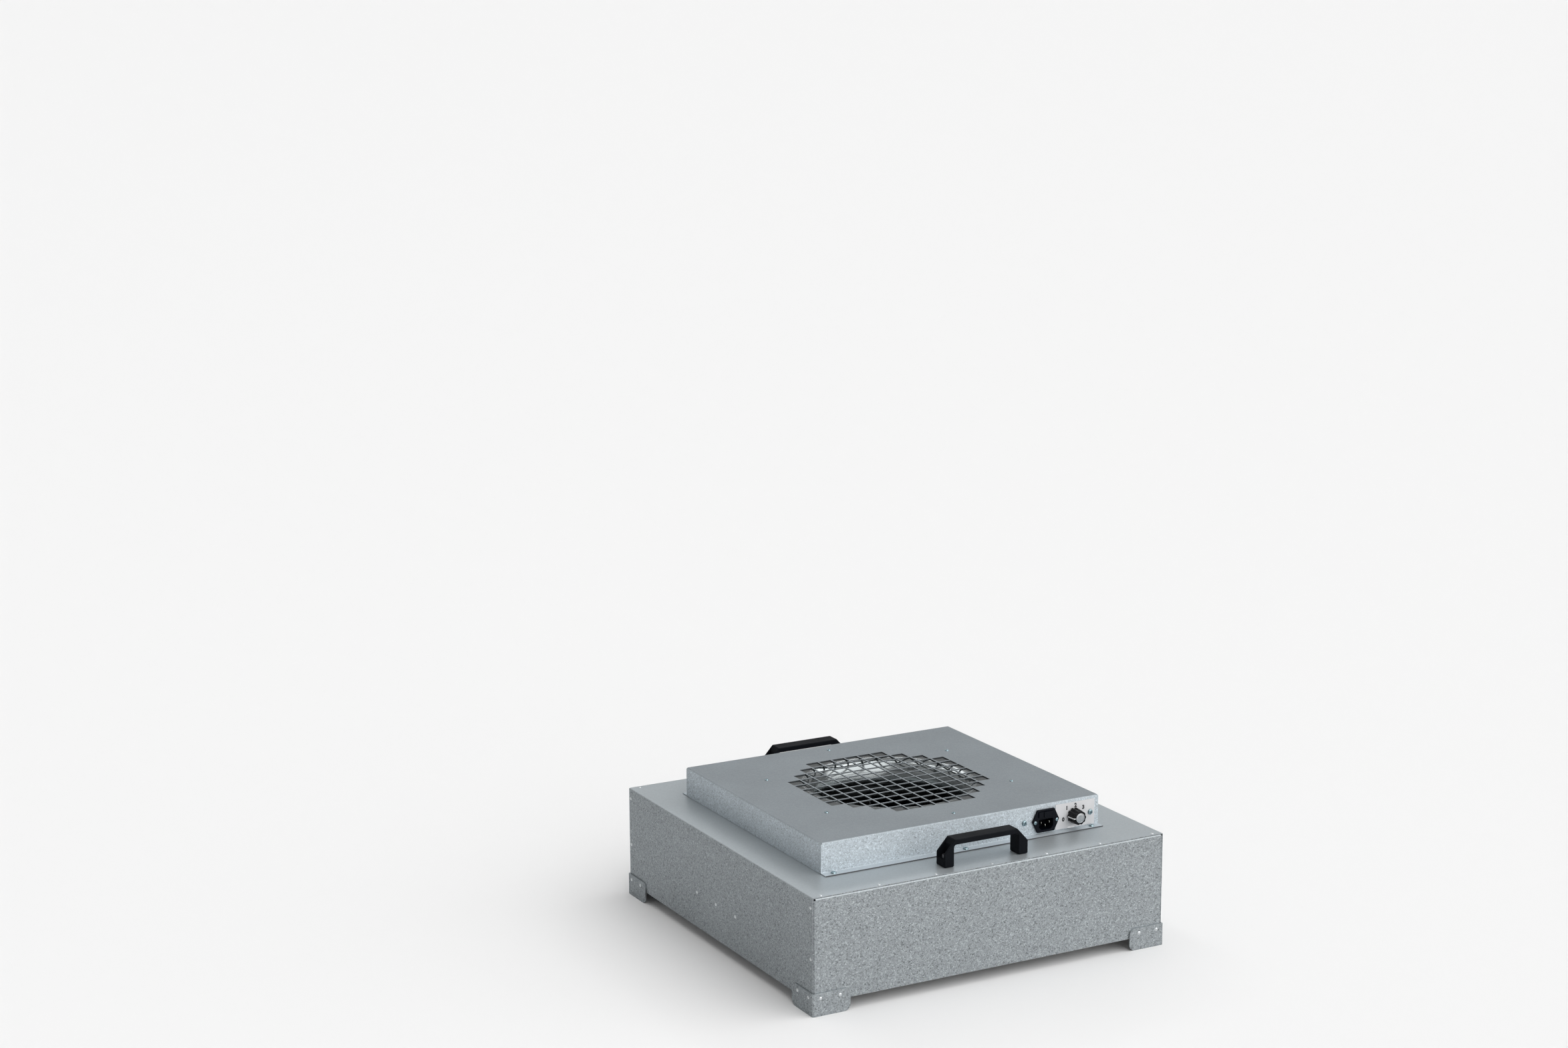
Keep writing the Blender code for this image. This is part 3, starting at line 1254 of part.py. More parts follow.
def main():
    """Build every piece under the frame of the group that it moves with."""
    clear_scene()
    unit = add_frame("unit_frame")
    build_wrapper(unit)
    build_panel("front_panel", unit, 0)
    build_panel("rear_panel", unit, math.pi)
    for name, corner, turn in (
        ("corner_bracket_front_left", (-1, -1), 0),
        ("corner_bracket_front_right", (1, -1), math.pi / 2),
        ("corner_bracket_rear_right", (1, 1), math.pi),
        ("corner_bracket_rear_left", (-1, 1), -math.pi / 2),
    ):
        build_bracket(name, unit, corner, turn)
    build_cover(unit)
    build_inlet_ring(unit)
    build_motor_bracket(unit)
    build_stator(unit)
    build_capacitor(unit)
    build_filter(unit)
    build_ledges(unit)
    build_handle("handle_front", unit, -HANDLE_Y)
    build_handle("handle_rear", unit, HANDLE_Y)
    build_handle_bolts(unit)
    build_electrics_box(unit, COVER_FRONT)
    build_inlet(unit, COVER_FRONT)
    build_label(unit, COVER_FRONT)
    knob_back = FIT + LABEL_THICKNESS + FIT + FIT
    build_switch(unit, COVER_FRONT, knob_back)

    fan = add_frame("fan_axis", parent=unit)
    build_rotor(fan)
    build_impeller(fan)
    knob = add_frame("knob_axis", (KNOB_X, COVER_FRONT - knob_back, CONTROL_HEIGHT), unit)
    build_knob(knob)
    drawer_front = COVER_FRONT - 2 * FIT - INLET_FLANGE
    drawer = add_frame("drawer_slide", (INLET_X, drawer_front, CONTROL_HEIGHT + DRAWER_RISE), unit)
    build_fuse_drawer(drawer)


main()
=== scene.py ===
"""Looks of the fan filter unit: its finishes, its fine pieces, plain studio light and the camera.

Metres, +Z up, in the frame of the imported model. The front, with the inlet and the speed knob, faces -Y.
Folded sheets that are right as packed keep their solids and get a finish. What is round, spun, moulded
or turned is made here again as a fine surface in the same place.
"""

import logging
import math
from dataclasses import dataclass, field, replace
from enum import Enum

import bmesh
import bpy
import numpy as np
from mathutils import Matrix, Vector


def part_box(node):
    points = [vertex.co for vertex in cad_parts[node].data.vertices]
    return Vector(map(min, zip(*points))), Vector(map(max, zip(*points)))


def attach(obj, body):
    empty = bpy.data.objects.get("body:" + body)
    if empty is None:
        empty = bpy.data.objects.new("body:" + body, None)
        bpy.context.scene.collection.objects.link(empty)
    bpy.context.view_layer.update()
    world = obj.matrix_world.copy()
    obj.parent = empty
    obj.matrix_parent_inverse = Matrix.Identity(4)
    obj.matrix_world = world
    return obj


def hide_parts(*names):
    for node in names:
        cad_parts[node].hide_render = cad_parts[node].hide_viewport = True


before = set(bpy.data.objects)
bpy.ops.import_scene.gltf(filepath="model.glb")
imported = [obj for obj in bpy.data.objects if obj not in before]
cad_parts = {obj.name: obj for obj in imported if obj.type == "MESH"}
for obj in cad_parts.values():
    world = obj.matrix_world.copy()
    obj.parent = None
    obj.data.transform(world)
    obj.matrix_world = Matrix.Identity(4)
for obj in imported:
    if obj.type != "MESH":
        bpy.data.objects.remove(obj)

logging.basicConfig(level=logging.INFO, format="%(message)s")
LOG = logging.getLogger("fan_filter_unit")

Array = np.ndarray
Socket = bpy.types.NodeSocket
Colour = tuple[float, float, float]
Point = tuple[float, float]
Place = tuple[float, float, float]
Corner = tuple[float, ...]

SAME_PLACE = 1e-6
SHARP_ANGLE = math.radians(35)
FIT = 0.0003
MIDDLE_GREY = (0.5, 0.5, 0.5)
SIDES = ("front", "rear", "left", "right")
SOFT_DETAIL = 2.0
FULL_DETAIL = 3.0
FEW_STEPS = 3
ROUND_STEPS = 32
FINE_STEPS = 96


class Slot(Enum):
    """Material slots of the record."""

    GALVANISED = "galvanised_sheet"
    SPUN = "spun_steel"
    CAST = "cast_aluminium"
    TURNED = "turned_steel"
    NYLON = "black_nylon"
    GLOSS = "black_gloss_plastic"
    LABEL = "label_film"
    PAPER = "filter_paper"
    PAINT = "white_paint"
    FOAM = "foam_gasket"
    COPPER = "copper_winding"
    BRASS = "brass_pin"
    GLASS = "fuse_glass"


class Body(Enum):
    """Bodies that a piece can move with."""

    HOUSING = "housing"
    FAN = "fan"
    KNOB = "knob"
    DRAWER = "drawer"


class Facing(Enum):
    """Where a piece's own axes point: right, up and out of the face that it sits on."""

    UP = ((1, 0, 0), (0, 1, 0), (0, 0, 1))
    FRONT = ((1, 0, 0), (0, 0, 1), (0, -1, 0))
    REAR = ((-1, 0, 0), (0, 0, 1), (0, 1, 0))
    LEFT = ((0, -1, 0), (0, 0, 1), (-1, 0, 0))
    RIGHT = ((0, 1, 0), (0, 0, 1), (1, 0, 0))


class Carving(Enum):
    """What a tool does to the piece that it meets."""

    CUT = "DIFFERENCE"
    JOIN = "UNION"


@dataclass
class Shape:
    """A closed surface as arrays: points, faces by corner number, and the finish of each set of faces."""

    points: Array
    faces: list[Array]
    finishes: list[int] = field(default_factory=list)

    def __post_init__(self) -> None:
        """Give every set of faces the first finish where none is named."""
        if not self.finishes:
            self.finishes = [0] * len(self.faces)

    def placed(self, seat: Array) -> "Shape":
        """Return the shape carried by a 4 x 4 matrix."""
        return replace(self, points=self.points @ seat[:3, :3].T + seat[:3, 3])

    def copies(self, seats: list[Array]) -> "Shape":
        """Return one shape that holds a copy at each of the matrices."""
        return join([self.placed(seat) for seat in seats])

    def finished(self, number: int) -> "Shape":
        """Return the shape with all its faces in one numbered finish."""
        return replace(self, finishes=[number] * len(self.faces))


def join(shapes: list[Shape]) -> Shape:
    """Gather shapes into one, each still a closed surface of its own.

    Args:
        shapes: the shapes, in order.

    Returns:
        One shape with their points one after the other and their faces numbered on.
    """
    starts = np.cumsum([0] + [len(shape.points) for shape in shapes[:-1]])
    return Shape(
        np.vstack([shape.points for shape in shapes]),
        [faces + start for shape, start in zip(shapes, starts) for faces in shape.faces],
        [finish for shape in shapes for finish in shape.finishes],
    )


def seat_at(place: Place, facing: Facing = Facing.UP, spin: float = 0.0) -> Array:
    """Matrix that seats a piece on a face.

    Args:
        place: where the piece's own origin goes.
        facing: the face it sits on.
        spin: turn about its own axis first.

    Returns:
        A 4 x 4 matrix.
    """
    seat = np.eye(4)
    cosine, sine = math.cos(spin), math.sin(spin)
    turn = np.array(((cosine, -sine, 0.0), (sine, cosine, 0.0), (0.0, 0.0, 1.0)))
    seat[:3, :3] = np.array(facing.value, float).T @ turn
    seat[:3, 3] = place
    return seat


def quads(rows: int, columns: int, wrap_rows: bool = False, wrap_columns: bool = False) -> Array:
    """Corner numbers of the four-sided faces of a grid of points stored row by row.

    Args:
        rows: number of rows.
        columns: number of columns.
        wrap_rows: join the last row to the first.
        wrap_columns: join the last column to the first.

    Returns:
        One row of four corner numbers for each face.
    """
    down = np.arange(rows if wrap_rows else rows - 1)
    across = np.arange(columns if wrap_columns else columns - 1)
    row, column = (lines.ravel() for lines in np.meshgrid(down, across, indexing="ij"))
    below, beside = (row + 1) % rows, (column + 1) % columns
    return np.column_stack(
        (row * columns + column, row * columns + beside, below * columns + beside, below * columns + column)
    )


def turned(profile: Array, steps: int, closed: bool = False, swell: Array | None = None) -> Shape:
    """Surface of revolution: (r cos a, r sin a, z) for each profile point (r, z) and angle a.

    Args:
        profile: points (r, z); an open profile starts and ends on the axis.
        steps: number of angles round the axis.
        closed: join the last profile point to the first, for a ring.
        swell: factor on r for each profile point and angle, where the piece isn't round.

    Returns:
        The closed surface.
    """
    angles = np.arange(steps) * math.tau / steps
    radius = profile[:, :1] * (np.ones(steps) if swell is None else swell)
    height = np.broadcast_to(profile[:, 1:], radius.shape)
    points = np.stack((radius * np.cos(angles), radius * np.sin(angles), height), axis=-1)
    return Shape(points.reshape(-1, 3), [quads(len(profile), steps, closed, True)])


def slab(front: Array, back: Array) -> Shape:
    """Solid between two grids that face each other, closed by a strip round their border.

    Args:
        front: grid of points, rows x columns x 3.
        back: the other side, a grid of the same size.

    Returns:
        The closed surface.
    """
    rows, columns = front.shape[:2]
    numbers = np.arange(rows * columns).reshape(rows, columns)
    border = np.concatenate((numbers[0, :-1], numbers[:-1, -1], numbers[-1, :0:-1], numbers[:0:-1, 0]))
    after = np.roll(border, -1)
    size = rows * columns
    face = quads(rows, columns)
    strip = np.column_stack((after, border, border + size, after + size))
    points = np.vstack((front.reshape(-1, 3), back.reshape(-1, 3)))
    return Shape(points, [face, face[:, ::-1] + size, strip])


def prism(outline: Array, low: float, high: float) -> Shape:
    """Outline carried straight along Z: (u, v, w) for each outline point (u, v) and end w.

    Args:
        outline: closed outline.
        low: height of one end.
        high: height of the other end.

    Returns:
        The closed surface, with one flat face at each end.
    """
    count = len(outline)
    ends = [np.column_stack((outline, np.full(count, level))) for level in (low, high)]
    ring = np.arange(count)
    after = np.roll(ring, -1)
    sides = np.column_stack((ring, after, after + count, ring + count))
    return Shape(np.vstack(ends), [sides, ring[None, ::-1], ring[None, :] + count])


def arc(centre: Point, radius: float, start: float, sweep: float, steps: int) -> Array:
    """Points centre + radius (cos a, sin a), a running evenly from start over the sweep."""
    angles = start + sweep * np.linspace(0, 1, steps + 1)
    return np.column_stack((np.cos(angles), np.sin(angles))) * radius + np.array(centre)


def rounded(corners: list[Corner], radius: float = 0.0, steps: int = 6) -> Array:
    """Closed outline with an arc at each corner, tangent to its two sides.

    Args:
        corners: corners in order: (u, v), or (u, v, r) with a radius of its own.
        radius: radius of the corners that name none; 0 keeps a corner sharp.
        steps: steps in each arc.

    Returns:
        The outline's points. An arc's centre lies at radius / sin(half the corner's angle) from the
        corner, on the bisector, and its ends at radius / tan(half the angle) along the sides.
    """
    radii = [corner[2] if len(corner) > 2 else radius for corner in corners]
    points = np.array([corner[:2] for corner in corners], float)
    parts = []
    for before, corner, after, bend in zip(np.roll(points, 1, 0), points, np.roll(points, -1, 0), radii):
        if bend == 0:
            parts.append(corner[None])
            continue
        back = (before - corner) / np.linalg.norm(before - corner)
        ahead = (after - corner) / np.linalg.norm(after - corner)
        half = math.acos(float(np.clip(back @ ahead, -1, 1))) / 2
        middle = (back + ahead) / np.linalg.norm(back + ahead)
        centre = corner + middle * bend / math.sin(half)
        reach = corner + back * bend / math.tan(half) - centre
        start = math.atan2(reach[1], reach[0])
        side = math.copysign(1.0, ahead[0] * back[1] - ahead[1] * back[0])
        parts.append(arc(tuple(centre), bend, start, side * (math.pi - 2 * half), steps))
    return np.vstack(parts)


def mirrored(half: list[Corner]) -> list[Corner]:
    """Return corners followed by their mirror images in u = 0, as one run of corners."""
    return half + [(-corner[0], *corner[1:]) for corner in reversed(half)]


def rectangle(width: float, height: float, centre: Point = (0.0, 0.0)) -> list[Point]:
    """Return the corners of a rectangle about a centre, in order."""
    signs = ((-1, -1), (1, -1), (1, 1), (-1, 1))
    return [(centre[0] + u * width / 2, centre[1] + v * height / 2) for u, v in signs]


def circle(steps: int) -> Array:
    """Return points (cos a, sin a), a running evenly round the circle."""
    angles = np.arange(steps) * math.tau / steps
    return np.column_stack((np.cos(angles), np.sin(angles)))


def left_of(curve: Array) -> Array:
    """Find the sideways direction at each point of a curve: the curve's gradient, turned left.

    Args:
        curve: points (u, v) of the curve.

    Returns:
        A direction of length 1 for each point.
    """
    run = np.gradient(curve, axis=0)
    run /= np.linalg.norm(run, axis=1, keepdims=True)
    return np.column_stack((-run[:, 1], run[:, 0]))


def sheet_section(curve: Array, thickness: float) -> Array:
    """Closed section of a sheet: a curve, and back along the curve moved sideways by the thickness.

    Args:
        curve: points (r, z) along one face of the sheet.
        thickness: sheet thickness, to the left of the curve where positive.

    Returns:
        The closed outline.
    """
    return np.vstack((curve, (curve + left_of(curve) * thickness)[::-1]))


def hexagon_swell(steps: int) -> Array:
    """Factor that makes a round six-sided: cos 30 over cos of the angle from the side's middle."""
    angles = np.arange(steps) * math.tau / steps
    return math.cos(math.pi / 6) / np.cos(np.mod(angles, math.pi / 3) - math.pi / 6)


def mesh_of(name: str, shape: Shape) -> bpy.types.Mesh:
    """Put a shape into a mesh, close its seams and poles and turn its faces outwards.

    Args:
        name: the mesh's name.
        shape: points, faces and finishes.

    Returns:
        The mesh, smooth shaded and with its sharp edges marked.
    """
    mesh = bpy.data.meshes.new(name)
    faces = [face for group in shape.faces for face in group.tolist()]
    mesh.from_pydata(shape.points.tolist(), [], faces)
    numbers = np.repeat(shape.finishes, [len(group) for group in shape.faces]).astype(np.int32)
    mesh.polygons.foreach_set("material_index", numbers)
    bm = bmesh.new()
    bm.from_mesh(mesh)
    bmesh.ops.remove_doubles(bm, verts=bm.verts, dist=SAME_PLACE)
    bmesh.ops.dissolve_degenerate(bm, edges=bm.edges, dist=SAME_PLACE)
    bmesh.ops.recalc_face_normals(bm, faces=bm.faces)
    bm.to_mesh(mesh)
    bm.free()
    mesh.shade_smooth()
    mesh.set_sharp_from_angle(angle=SHARP_ANGLE)
    return mesh


def link_piece(name: str, data: bpy.types.ID) -> bpy.types.Object:
    """Add an object at the origin.

    Args:
        name: the object's name.
        data: its mesh, text, lamp or camera.

    Returns:
        The object.
    """
    piece = bpy.data.objects.new(name, data)
    bpy.context.scene.collection.objects.link(piece)
    return piece


def settle(piece: bpy.types.Object) -> None:
    """Keep what a piece's modifiers have made as its own mesh.

    Args:
        piece: the piece, which has no modifier left after this.
    """
    bpy.context.view_layer.update()
    graph = bpy.context.evaluated_depsgraph_get()
    piece.data = bpy.data.meshes.new_from_object(piece.evaluated_get(graph))
    piece.modifiers.clear()


def soften(piece: bpy.types.Object, width: float, segments: int = 2) -> None:
    """Round a piece's sharp edges and weigh its normals, so that its flat faces stay flat.

    Args:
        piece: the piece.
        width: how far the rounding reaches from each edge.
        segments: faces across the rounding.
    """
    bevel = piece.modifiers.new("edges", "BEVEL")
    bevel.width = width
    bevel.segments = segments
    bevel.limit_method = "ANGLE"
    bevel.angle_limit = SHARP_ANGLE
    piece.data.shade_smooth()
    piece.data.set_sharp_from_angle(angle=math.pi)
    weigh = piece.modifiers.new("normals", "WEIGHTED_NORMAL")
    weigh.keep_sharp = True


def carve(piece: bpy.types.Object, tool: Shape, carving: Carving = Carving.CUT) -> None:
    """Cut a shape from a piece, or join it to the piece, for good.

    Args:
        piece: the piece.
        tool: the shape that cuts or is joined.
        carving: whether the shape cuts or is joined.
    """
    cutter = link_piece("cutter", mesh_of("cutter", tool))
    cut = piece.modifiers.new("cut", "BOOLEAN")
    cut.operation = carving.value
    cut.solver = "EXACT"
    cut.object = cutter
    settle(piece)
    bpy.data.objects.remove(cutter)


class Graph:
    """Node tree of one material, or of the studio's world, put together by short calls."""

    def __init__(self, tree: bpy.types.NodeTree) -> None:
        """Work on a node tree and its principled shader, where it has one."""
        self.tree = tree
        self.shader = tree.nodes.get("Principled BSDF")

    def feed(self, socket: Socket, value: object) -> None:
        """Link a socket to another, or set its value.

        Args:
            socket: the socket that takes the value.
            value: another node's socket, or a plain value.
        """
        if isinstance(value, Socket):
            self.tree.links.new(value, socket)
        else:
            socket.default_value = value

    def add(self, kind: str, inputs: dict[str | int, object], **settings: object) -> bpy.types.Node:
        """Add a node.

        Args:
            kind: the node's type.
            inputs: a value or a socket for each named or numbered input.
            settings: the node's own options.

        Returns:
            The node.
        """
        node = self.tree.nodes.new(kind)
        for name, value in settings.items():
            setattr(node, name, value)
        for key, value in inputs.items():
            self.feed(node.inputs[key], value)
        return node

    def surface(self, **values: object) -> None:
        """Set or link sockets of the shader, named with underscores for spaces."""
        for name, value in values.items():
            self.feed(self.shader.inputs[name.replace("_", " ")], value)

    def place(self) -> Socket:
        """Return the object's own coordinates."""
        return self.add("ShaderNodeTexCoord", {}).outputs["Object"]

    def maths(self, operation: str, *values: object) -> Socket:
        """Return the result of a sum on numbers."""
        return self.add("ShaderNodeMath", dict(enumerate(values)), operation=operation).outputs[0]

    def vector(self, operation: str, *values: object, output: int | str = 0) -> Socket:
        """Return the result of a sum on vectors."""
        return self.add("ShaderNodeVectorMath", dict(enumerate(values)), operation=operation).outputs[output]

    def dot(self, vector: Socket, way: Colour) -> Socket:
        """Return how far a vector reaches along a fixed way."""
        return self.vector("DOT_PRODUCT", vector, way, output="Value")

    def length(self, vector: Socket) -> Socket:
        """Return a vector's length."""
        return self.vector("LENGTH", vector, output="Value")

    def scaled(self, vector: Socket | Colour, amount: Socket | float) -> Socket:
        """Return a vector or a colour times a number."""
        return self.add("ShaderNodeVectorMath", {0: vector, "Scale": amount}, operation="SCALE").outputs[0]

    def channel(self, colour: Socket, number: int) -> Socket:
        """Return one of the three numbers of a colour or a vector."""
        return self.add("ShaderNodeSeparateXYZ", {0: colour}).outputs[number]

    def cubed(self, colour: Socket) -> Socket:
        """Return the cube of a colour's first channel carried from 0...1 to -1...1."""
        swing = self.maths("MULTIPLY_ADD", self.channel(colour, 0), 2.0, -1.0)
        return self.maths("MULTIPLY", swing, self.maths("MULTIPLY", swing, swing))

    def blend(self, first: Socket, second: Socket, share: float) -> Socket:
        """Return two numbers added up, the first with its share and the second with the rest."""
        rest = self.maths("MULTIPLY", second, 1.0 - share)
        return self.maths("MULTIPLY_ADD", first, share, rest)

    def noise(self, place: Socket, scale: float, detail: float = SOFT_DETAIL) -> bpy.types.Node:
        """Return a soft noise of so many waves a metre."""
        return self.add("ShaderNodeTexNoise", {"Vector": place, "Scale": scale, "Detail": detail})

    def cells(self, place: Socket, scale: float) -> bpy.types.Node:
        """Return a pattern of irregular cells, so many a metre."""
        return self.add("ShaderNodeTexVoronoi", {"Vector": place, "Scale": scale})

    def remap(self, value: Socket, low: float, high: float, source: Point = (0.0, 1.0)) -> Socket:
        """Return a value carried from one range to another."""
        inputs = {0: value, 1: source[0], 2: source[1], 3: low, 4: high}
        return self.add("ShaderNodeMapRange", inputs).outputs[0]

    def bumped(self, height: Socket, depth: float, strength: float = 1.0) -> Socket:
        """Return a normal bent by a height map whose full step is so deep."""
        inputs = {"Height": height, "Distance": depth, "Strength": strength}
        return self.add("ShaderNodeBump", inputs).outputs[0]


@dataclass(frozen=True)
class Finish:
    """A plain finish, and what every other finish has: a name, its slot, a colour and a gloss.

    A kind of finish adds its pattern in paint(), which takes the node tree of the finish's material.
    """

    name: str
    slot: Slot
    colour: Colour
    roughness: float
    metallic: float = 0.0

    def material(self) -> bpy.types.Material:
        """Find the finish's material, or make it at its first use.

        Returns:
            The material.
        """
        found = bpy.data.materials.get(self.name)
        if found is None:
            found = bpy.data.materials.new(self.name)
            found.use_nodes = True
            self.paint(Graph(found.node_tree))
        return found

    def paint(self, graph: Graph) -> None:
        """Set the shader's plain values, which each kind of finish adds its pattern to."""
        graph.surface(Base_Color=(*self.colour, 1.0), Roughness=self.roughness, Metallic=self.metallic)

    def around(self, graph: Graph, value: Socket, swing: Point) -> Socket:
        """Return a roughness that runs about the finish's own, as a value runs from 0 to 1."""
        return graph.remap(value, self.roughness + swing[0], self.roughness + swing[1])


@dataclass(frozen=True)
class GalvanisedFinish(Finish):
    """Zinc-coated sheet: small irregular grains, each with its own brightness, gloss and tilt.

    The grains show on the walls and faintly on faces that look up or down. Those faces also get
    painted light: a brightness of their own, lighter or darker than the walls as light falls on them.
    Lengths named as waves or reach are in grains.
    """

    grain: float = 0.0018
    contrast: float = 0.42
    tilt: float = 0.1
    bend_waves: float = 0.35
    bend_reach: float = 1.5
    fine_waves: float = 2.0
    fine_share: float = 0.8
    cloud_scale: float = 9.0
    cloud_depth: float = 0.12
    gloss_swing: float = 0.12
    edge_tint: float = 0.45
    edge_cast: Colour = (0.94, 1.0, 1.03)
    edge_gloss: float = 0.25
    flat_share: float = 0.12
    # Painted light: faces that look up or down get this brightness factor, and the second one below the
    # given height.
    painted_flat_light: float = 1.0
    painted_flat_light_below: Point = (0.0, 1.0)
    # Upright faces near the fan's axis are darkened: partly the grille's bare cut edges, partly painted
    # shade in its cells.
    cut_edge_shade_within: float = 0.0
    cut_edge_shade_level: float = 0.2

    def paint(self, graph: Graph) -> None:
        """Cube the grey of two sizes of cells, so that few grains stand out, over faint clouds.

        Args:
            graph: the material's node tree.
        """
        super().paint(graph)
        place = graph.place()
        bend = graph.noise(place, self.bend_waves / self.grain).outputs["Color"]
        shift = graph.scaled(graph.vector("SUBTRACT", bend, MIDDLE_GREY), self.bend_reach * self.grain)
        bent = graph.vector("ADD", place, shift)
        coarse = graph.cells(bent, 1.0 / self.grain).outputs["Color"]
        fine = graph.cells(bent, self.fine_waves / self.grain).outputs["Color"]
        cloud = graph.maths("SUBTRACT", graph.noise(place, self.cloud_scale, FULL_DETAIL).outputs[0], 0.5)
        normal = graph.add("ShaderNodeNewGeometry", {}).outputs["Normal"]
        flat = graph.maths("ABSOLUTE", graph.channel(normal, 2))
        show = graph.remap(flat, 1.0, self.flat_share)
        specks = graph.maths("MULTIPLY_ADD", graph.cubed(fine), self.fine_share, graph.cubed(coarse))
        grains = graph.maths("MULTIPLY", graph.maths("MULTIPLY", specks, show), self.contrast)
        patchy = graph.maths("ADD", grains, graph.maths("MULTIPLY", cloud, self.cloud_depth))
        # Painted light: faces that look up or down get their own brightness, and another one below a set
        # height.
        height, level = self.painted_flat_light_below
        low_down = graph.maths("LESS_THAN", graph.channel(place, 2), height)
        painted_flat_change = graph.maths("MULTIPLY_ADD", low_down, level - self.painted_flat_light, self.painted_flat_light - 1.0)
        factor = graph.maths("MULTIPLY_ADD", flat, painted_flat_change, graph.maths("ADD", patchy, 1.0))
        least = self.roughness - self.gloss_swing / 2
        gloss = graph.maths("MULTIPLY_ADD", graph.channel(coarse, 1), self.gloss_swing, least)
        reach = graph.maths("MULTIPLY", show, self.tilt)
        leaning = graph.scaled(graph.vector("SUBTRACT", coarse, MIDDLE_GREY), reach)
        bowed = graph.vector("NORMALIZE", graph.vector("ADD", normal, leaning))
        # Painted shade, partly the bare edges' own colour: upright faces near the axis are darkened.
        if self.cut_edge_shade_within:
            factor = graph.maths("MULTIPLY", factor, self.cut_edge_shade(graph, place, flat))
        graph.surface(Base_Color=graph.scaled(self.colour, factor), Roughness=gloss, Normal=bowed)
        tint = (*(self.edge_tint * share for share in self.edge_cast), 1.0)
        graph.surface(Specular_Tint=tint, Specular_IOR_Level=self.edge_gloss)

    def cut_edge_shade(self, graph: Graph, place: Socket, flat: Socket) -> Socket:
        """Darken upright faces near the fan's axis, the grille's cut edges: bare edge and painted shade.

        Args:
            graph: the material's node tree.
            place: the object's own coordinates.
            flat: how far a face looks straight up or down.

        Returns:
            The darkening level on the cut edges and 1 elsewhere.
        """
        radius = graph.length(graph.vector("MULTIPLY", place, (1.0, 1.0, 0.0)))
        near = graph.maths("LESS_THAN", radius, self.cut_edge_shade_within)
        upright = graph.maths("LESS_THAN", flat, 0.5)
        both = graph.maths("MULTIPLY", near, upright)
        return graph.maths("MULTIPLY_ADD", both, self.cut_edge_shade_level - 1.0, 1.0)


@dataclass(frozen=True)
class SpunFinish(Finish):
    """Spun or turned metal: grooves round its axis; beyond a radius, painted shade and more roughness."""

    groove: float = 0.0009
    depth: float = 0.00002
    centre: Place = (0.0, 0.0, 0.0)
    round_axis: Facing = Facing.UP
    groove_share: float = 0.6
    stain_scale: float = 14.0
    shade: Point = (0.8, 1.2)
    gloss_swing: Point = (-0.06, 0.08)
    # Painted shade: beyond this radius the colour falls to the shade level over the fade, and the roughness
    # rises by the dull gloss.
    shade_and_dull_beyond: float = 10.0
    shade_and_dull_fade: float = 1.03
    painted_shade_level: float = 0.3
    dull_gloss: float = 0.25

    def from_centre(self, graph: Graph) -> tuple[Socket, Colour]:
        """Return the way from the part's centre to the place, and the direction of its axis."""
        out = tuple(float(value) for value in self.round_axis.value[2])
        return graph.vector("SUBTRACT", graph.place(), self.centre), out

    def paint(self, graph: Graph) -> None:
        """Read a noise at the distance from the axis and the height along it, so that it runs round.

        Args:
            graph: the material's node tree.
        """
        super().paint(graph)
        arm, out = self.from_centre(graph)
        along = graph.dot(arm, out)
        radius = graph.length(graph.vector("SUBTRACT", arm, graph.scaled(out, along)))
        spot = graph.add("ShaderNodeCombineXYZ", {0: radius, 1: along}).outputs[0]
        rings = graph.noise(spot, 1.0 / self.groove, FULL_DETAIL).outputs[0]
        stain = graph.noise(graph.place(), self.stain_scale, FULL_DETAIL).outputs[0]
        wear = graph.remap(graph.blend(rings, stain, self.groove_share), *self.shade)
        # Painted shade: beyond the radius the colour darkens and the roughness rises.
        edge = (self.shade_and_dull_beyond, self.shade_and_dull_fade * self.shade_and_dull_beyond)
        level = graph.maths("MULTIPLY", wear, graph.remap(radius, 1.0, self.painted_shade_level, edge))
        dull = graph.remap(radius, 0.0, self.dull_gloss, edge)
        graph.surface(
            Base_Color=graph.scaled(self.colour, level),
            Roughness=graph.maths("ADD", self.around(graph, rings, self.gloss_swing), dull),
            Normal=graph.bumped(rings, self.depth),
        )


@dataclass(frozen=True)
class BrushedCapFinish(SpunFinish):
    """Spun face that throws wedges of light: its gloss is stretched across the grooves."""

    stretch: float = 0.85

    def paint(self, graph: Graph) -> None:
        """Lay the tangent round the axis: the cross product of the place and the axis.

        Args:
            graph: the material's node tree.
        """
        super().paint(graph)
        arm, out = self.from_centre(graph)
        tangent = graph.vector("NORMALIZE", graph.vector("CROSS_PRODUCT", arm, out))
        graph.surface(Anisotropic=self.stretch, Tangent=tangent)


class Pattern(Enum):
    """Fine patterns that dent a surface: kind of node, output, waves to a grain, inputs, options."""

    GRAIN = ("ShaderNodeTexNoise", 0, 1.0, {"Detail": 3.0}, {})
    FIBRES = ("ShaderNodeTexNoise", 0, 1.0, {"Detail": 4.0}, {})
    PEBBLES = ("ShaderNodeTexVoronoi", "Distance", 1.0, {}, {})
    BANDS = ("ShaderNodeTexWave", 1, 0.16, {"Distortion": 1.5, "Detail": 1.0}, {"bands_direction": "Z"})


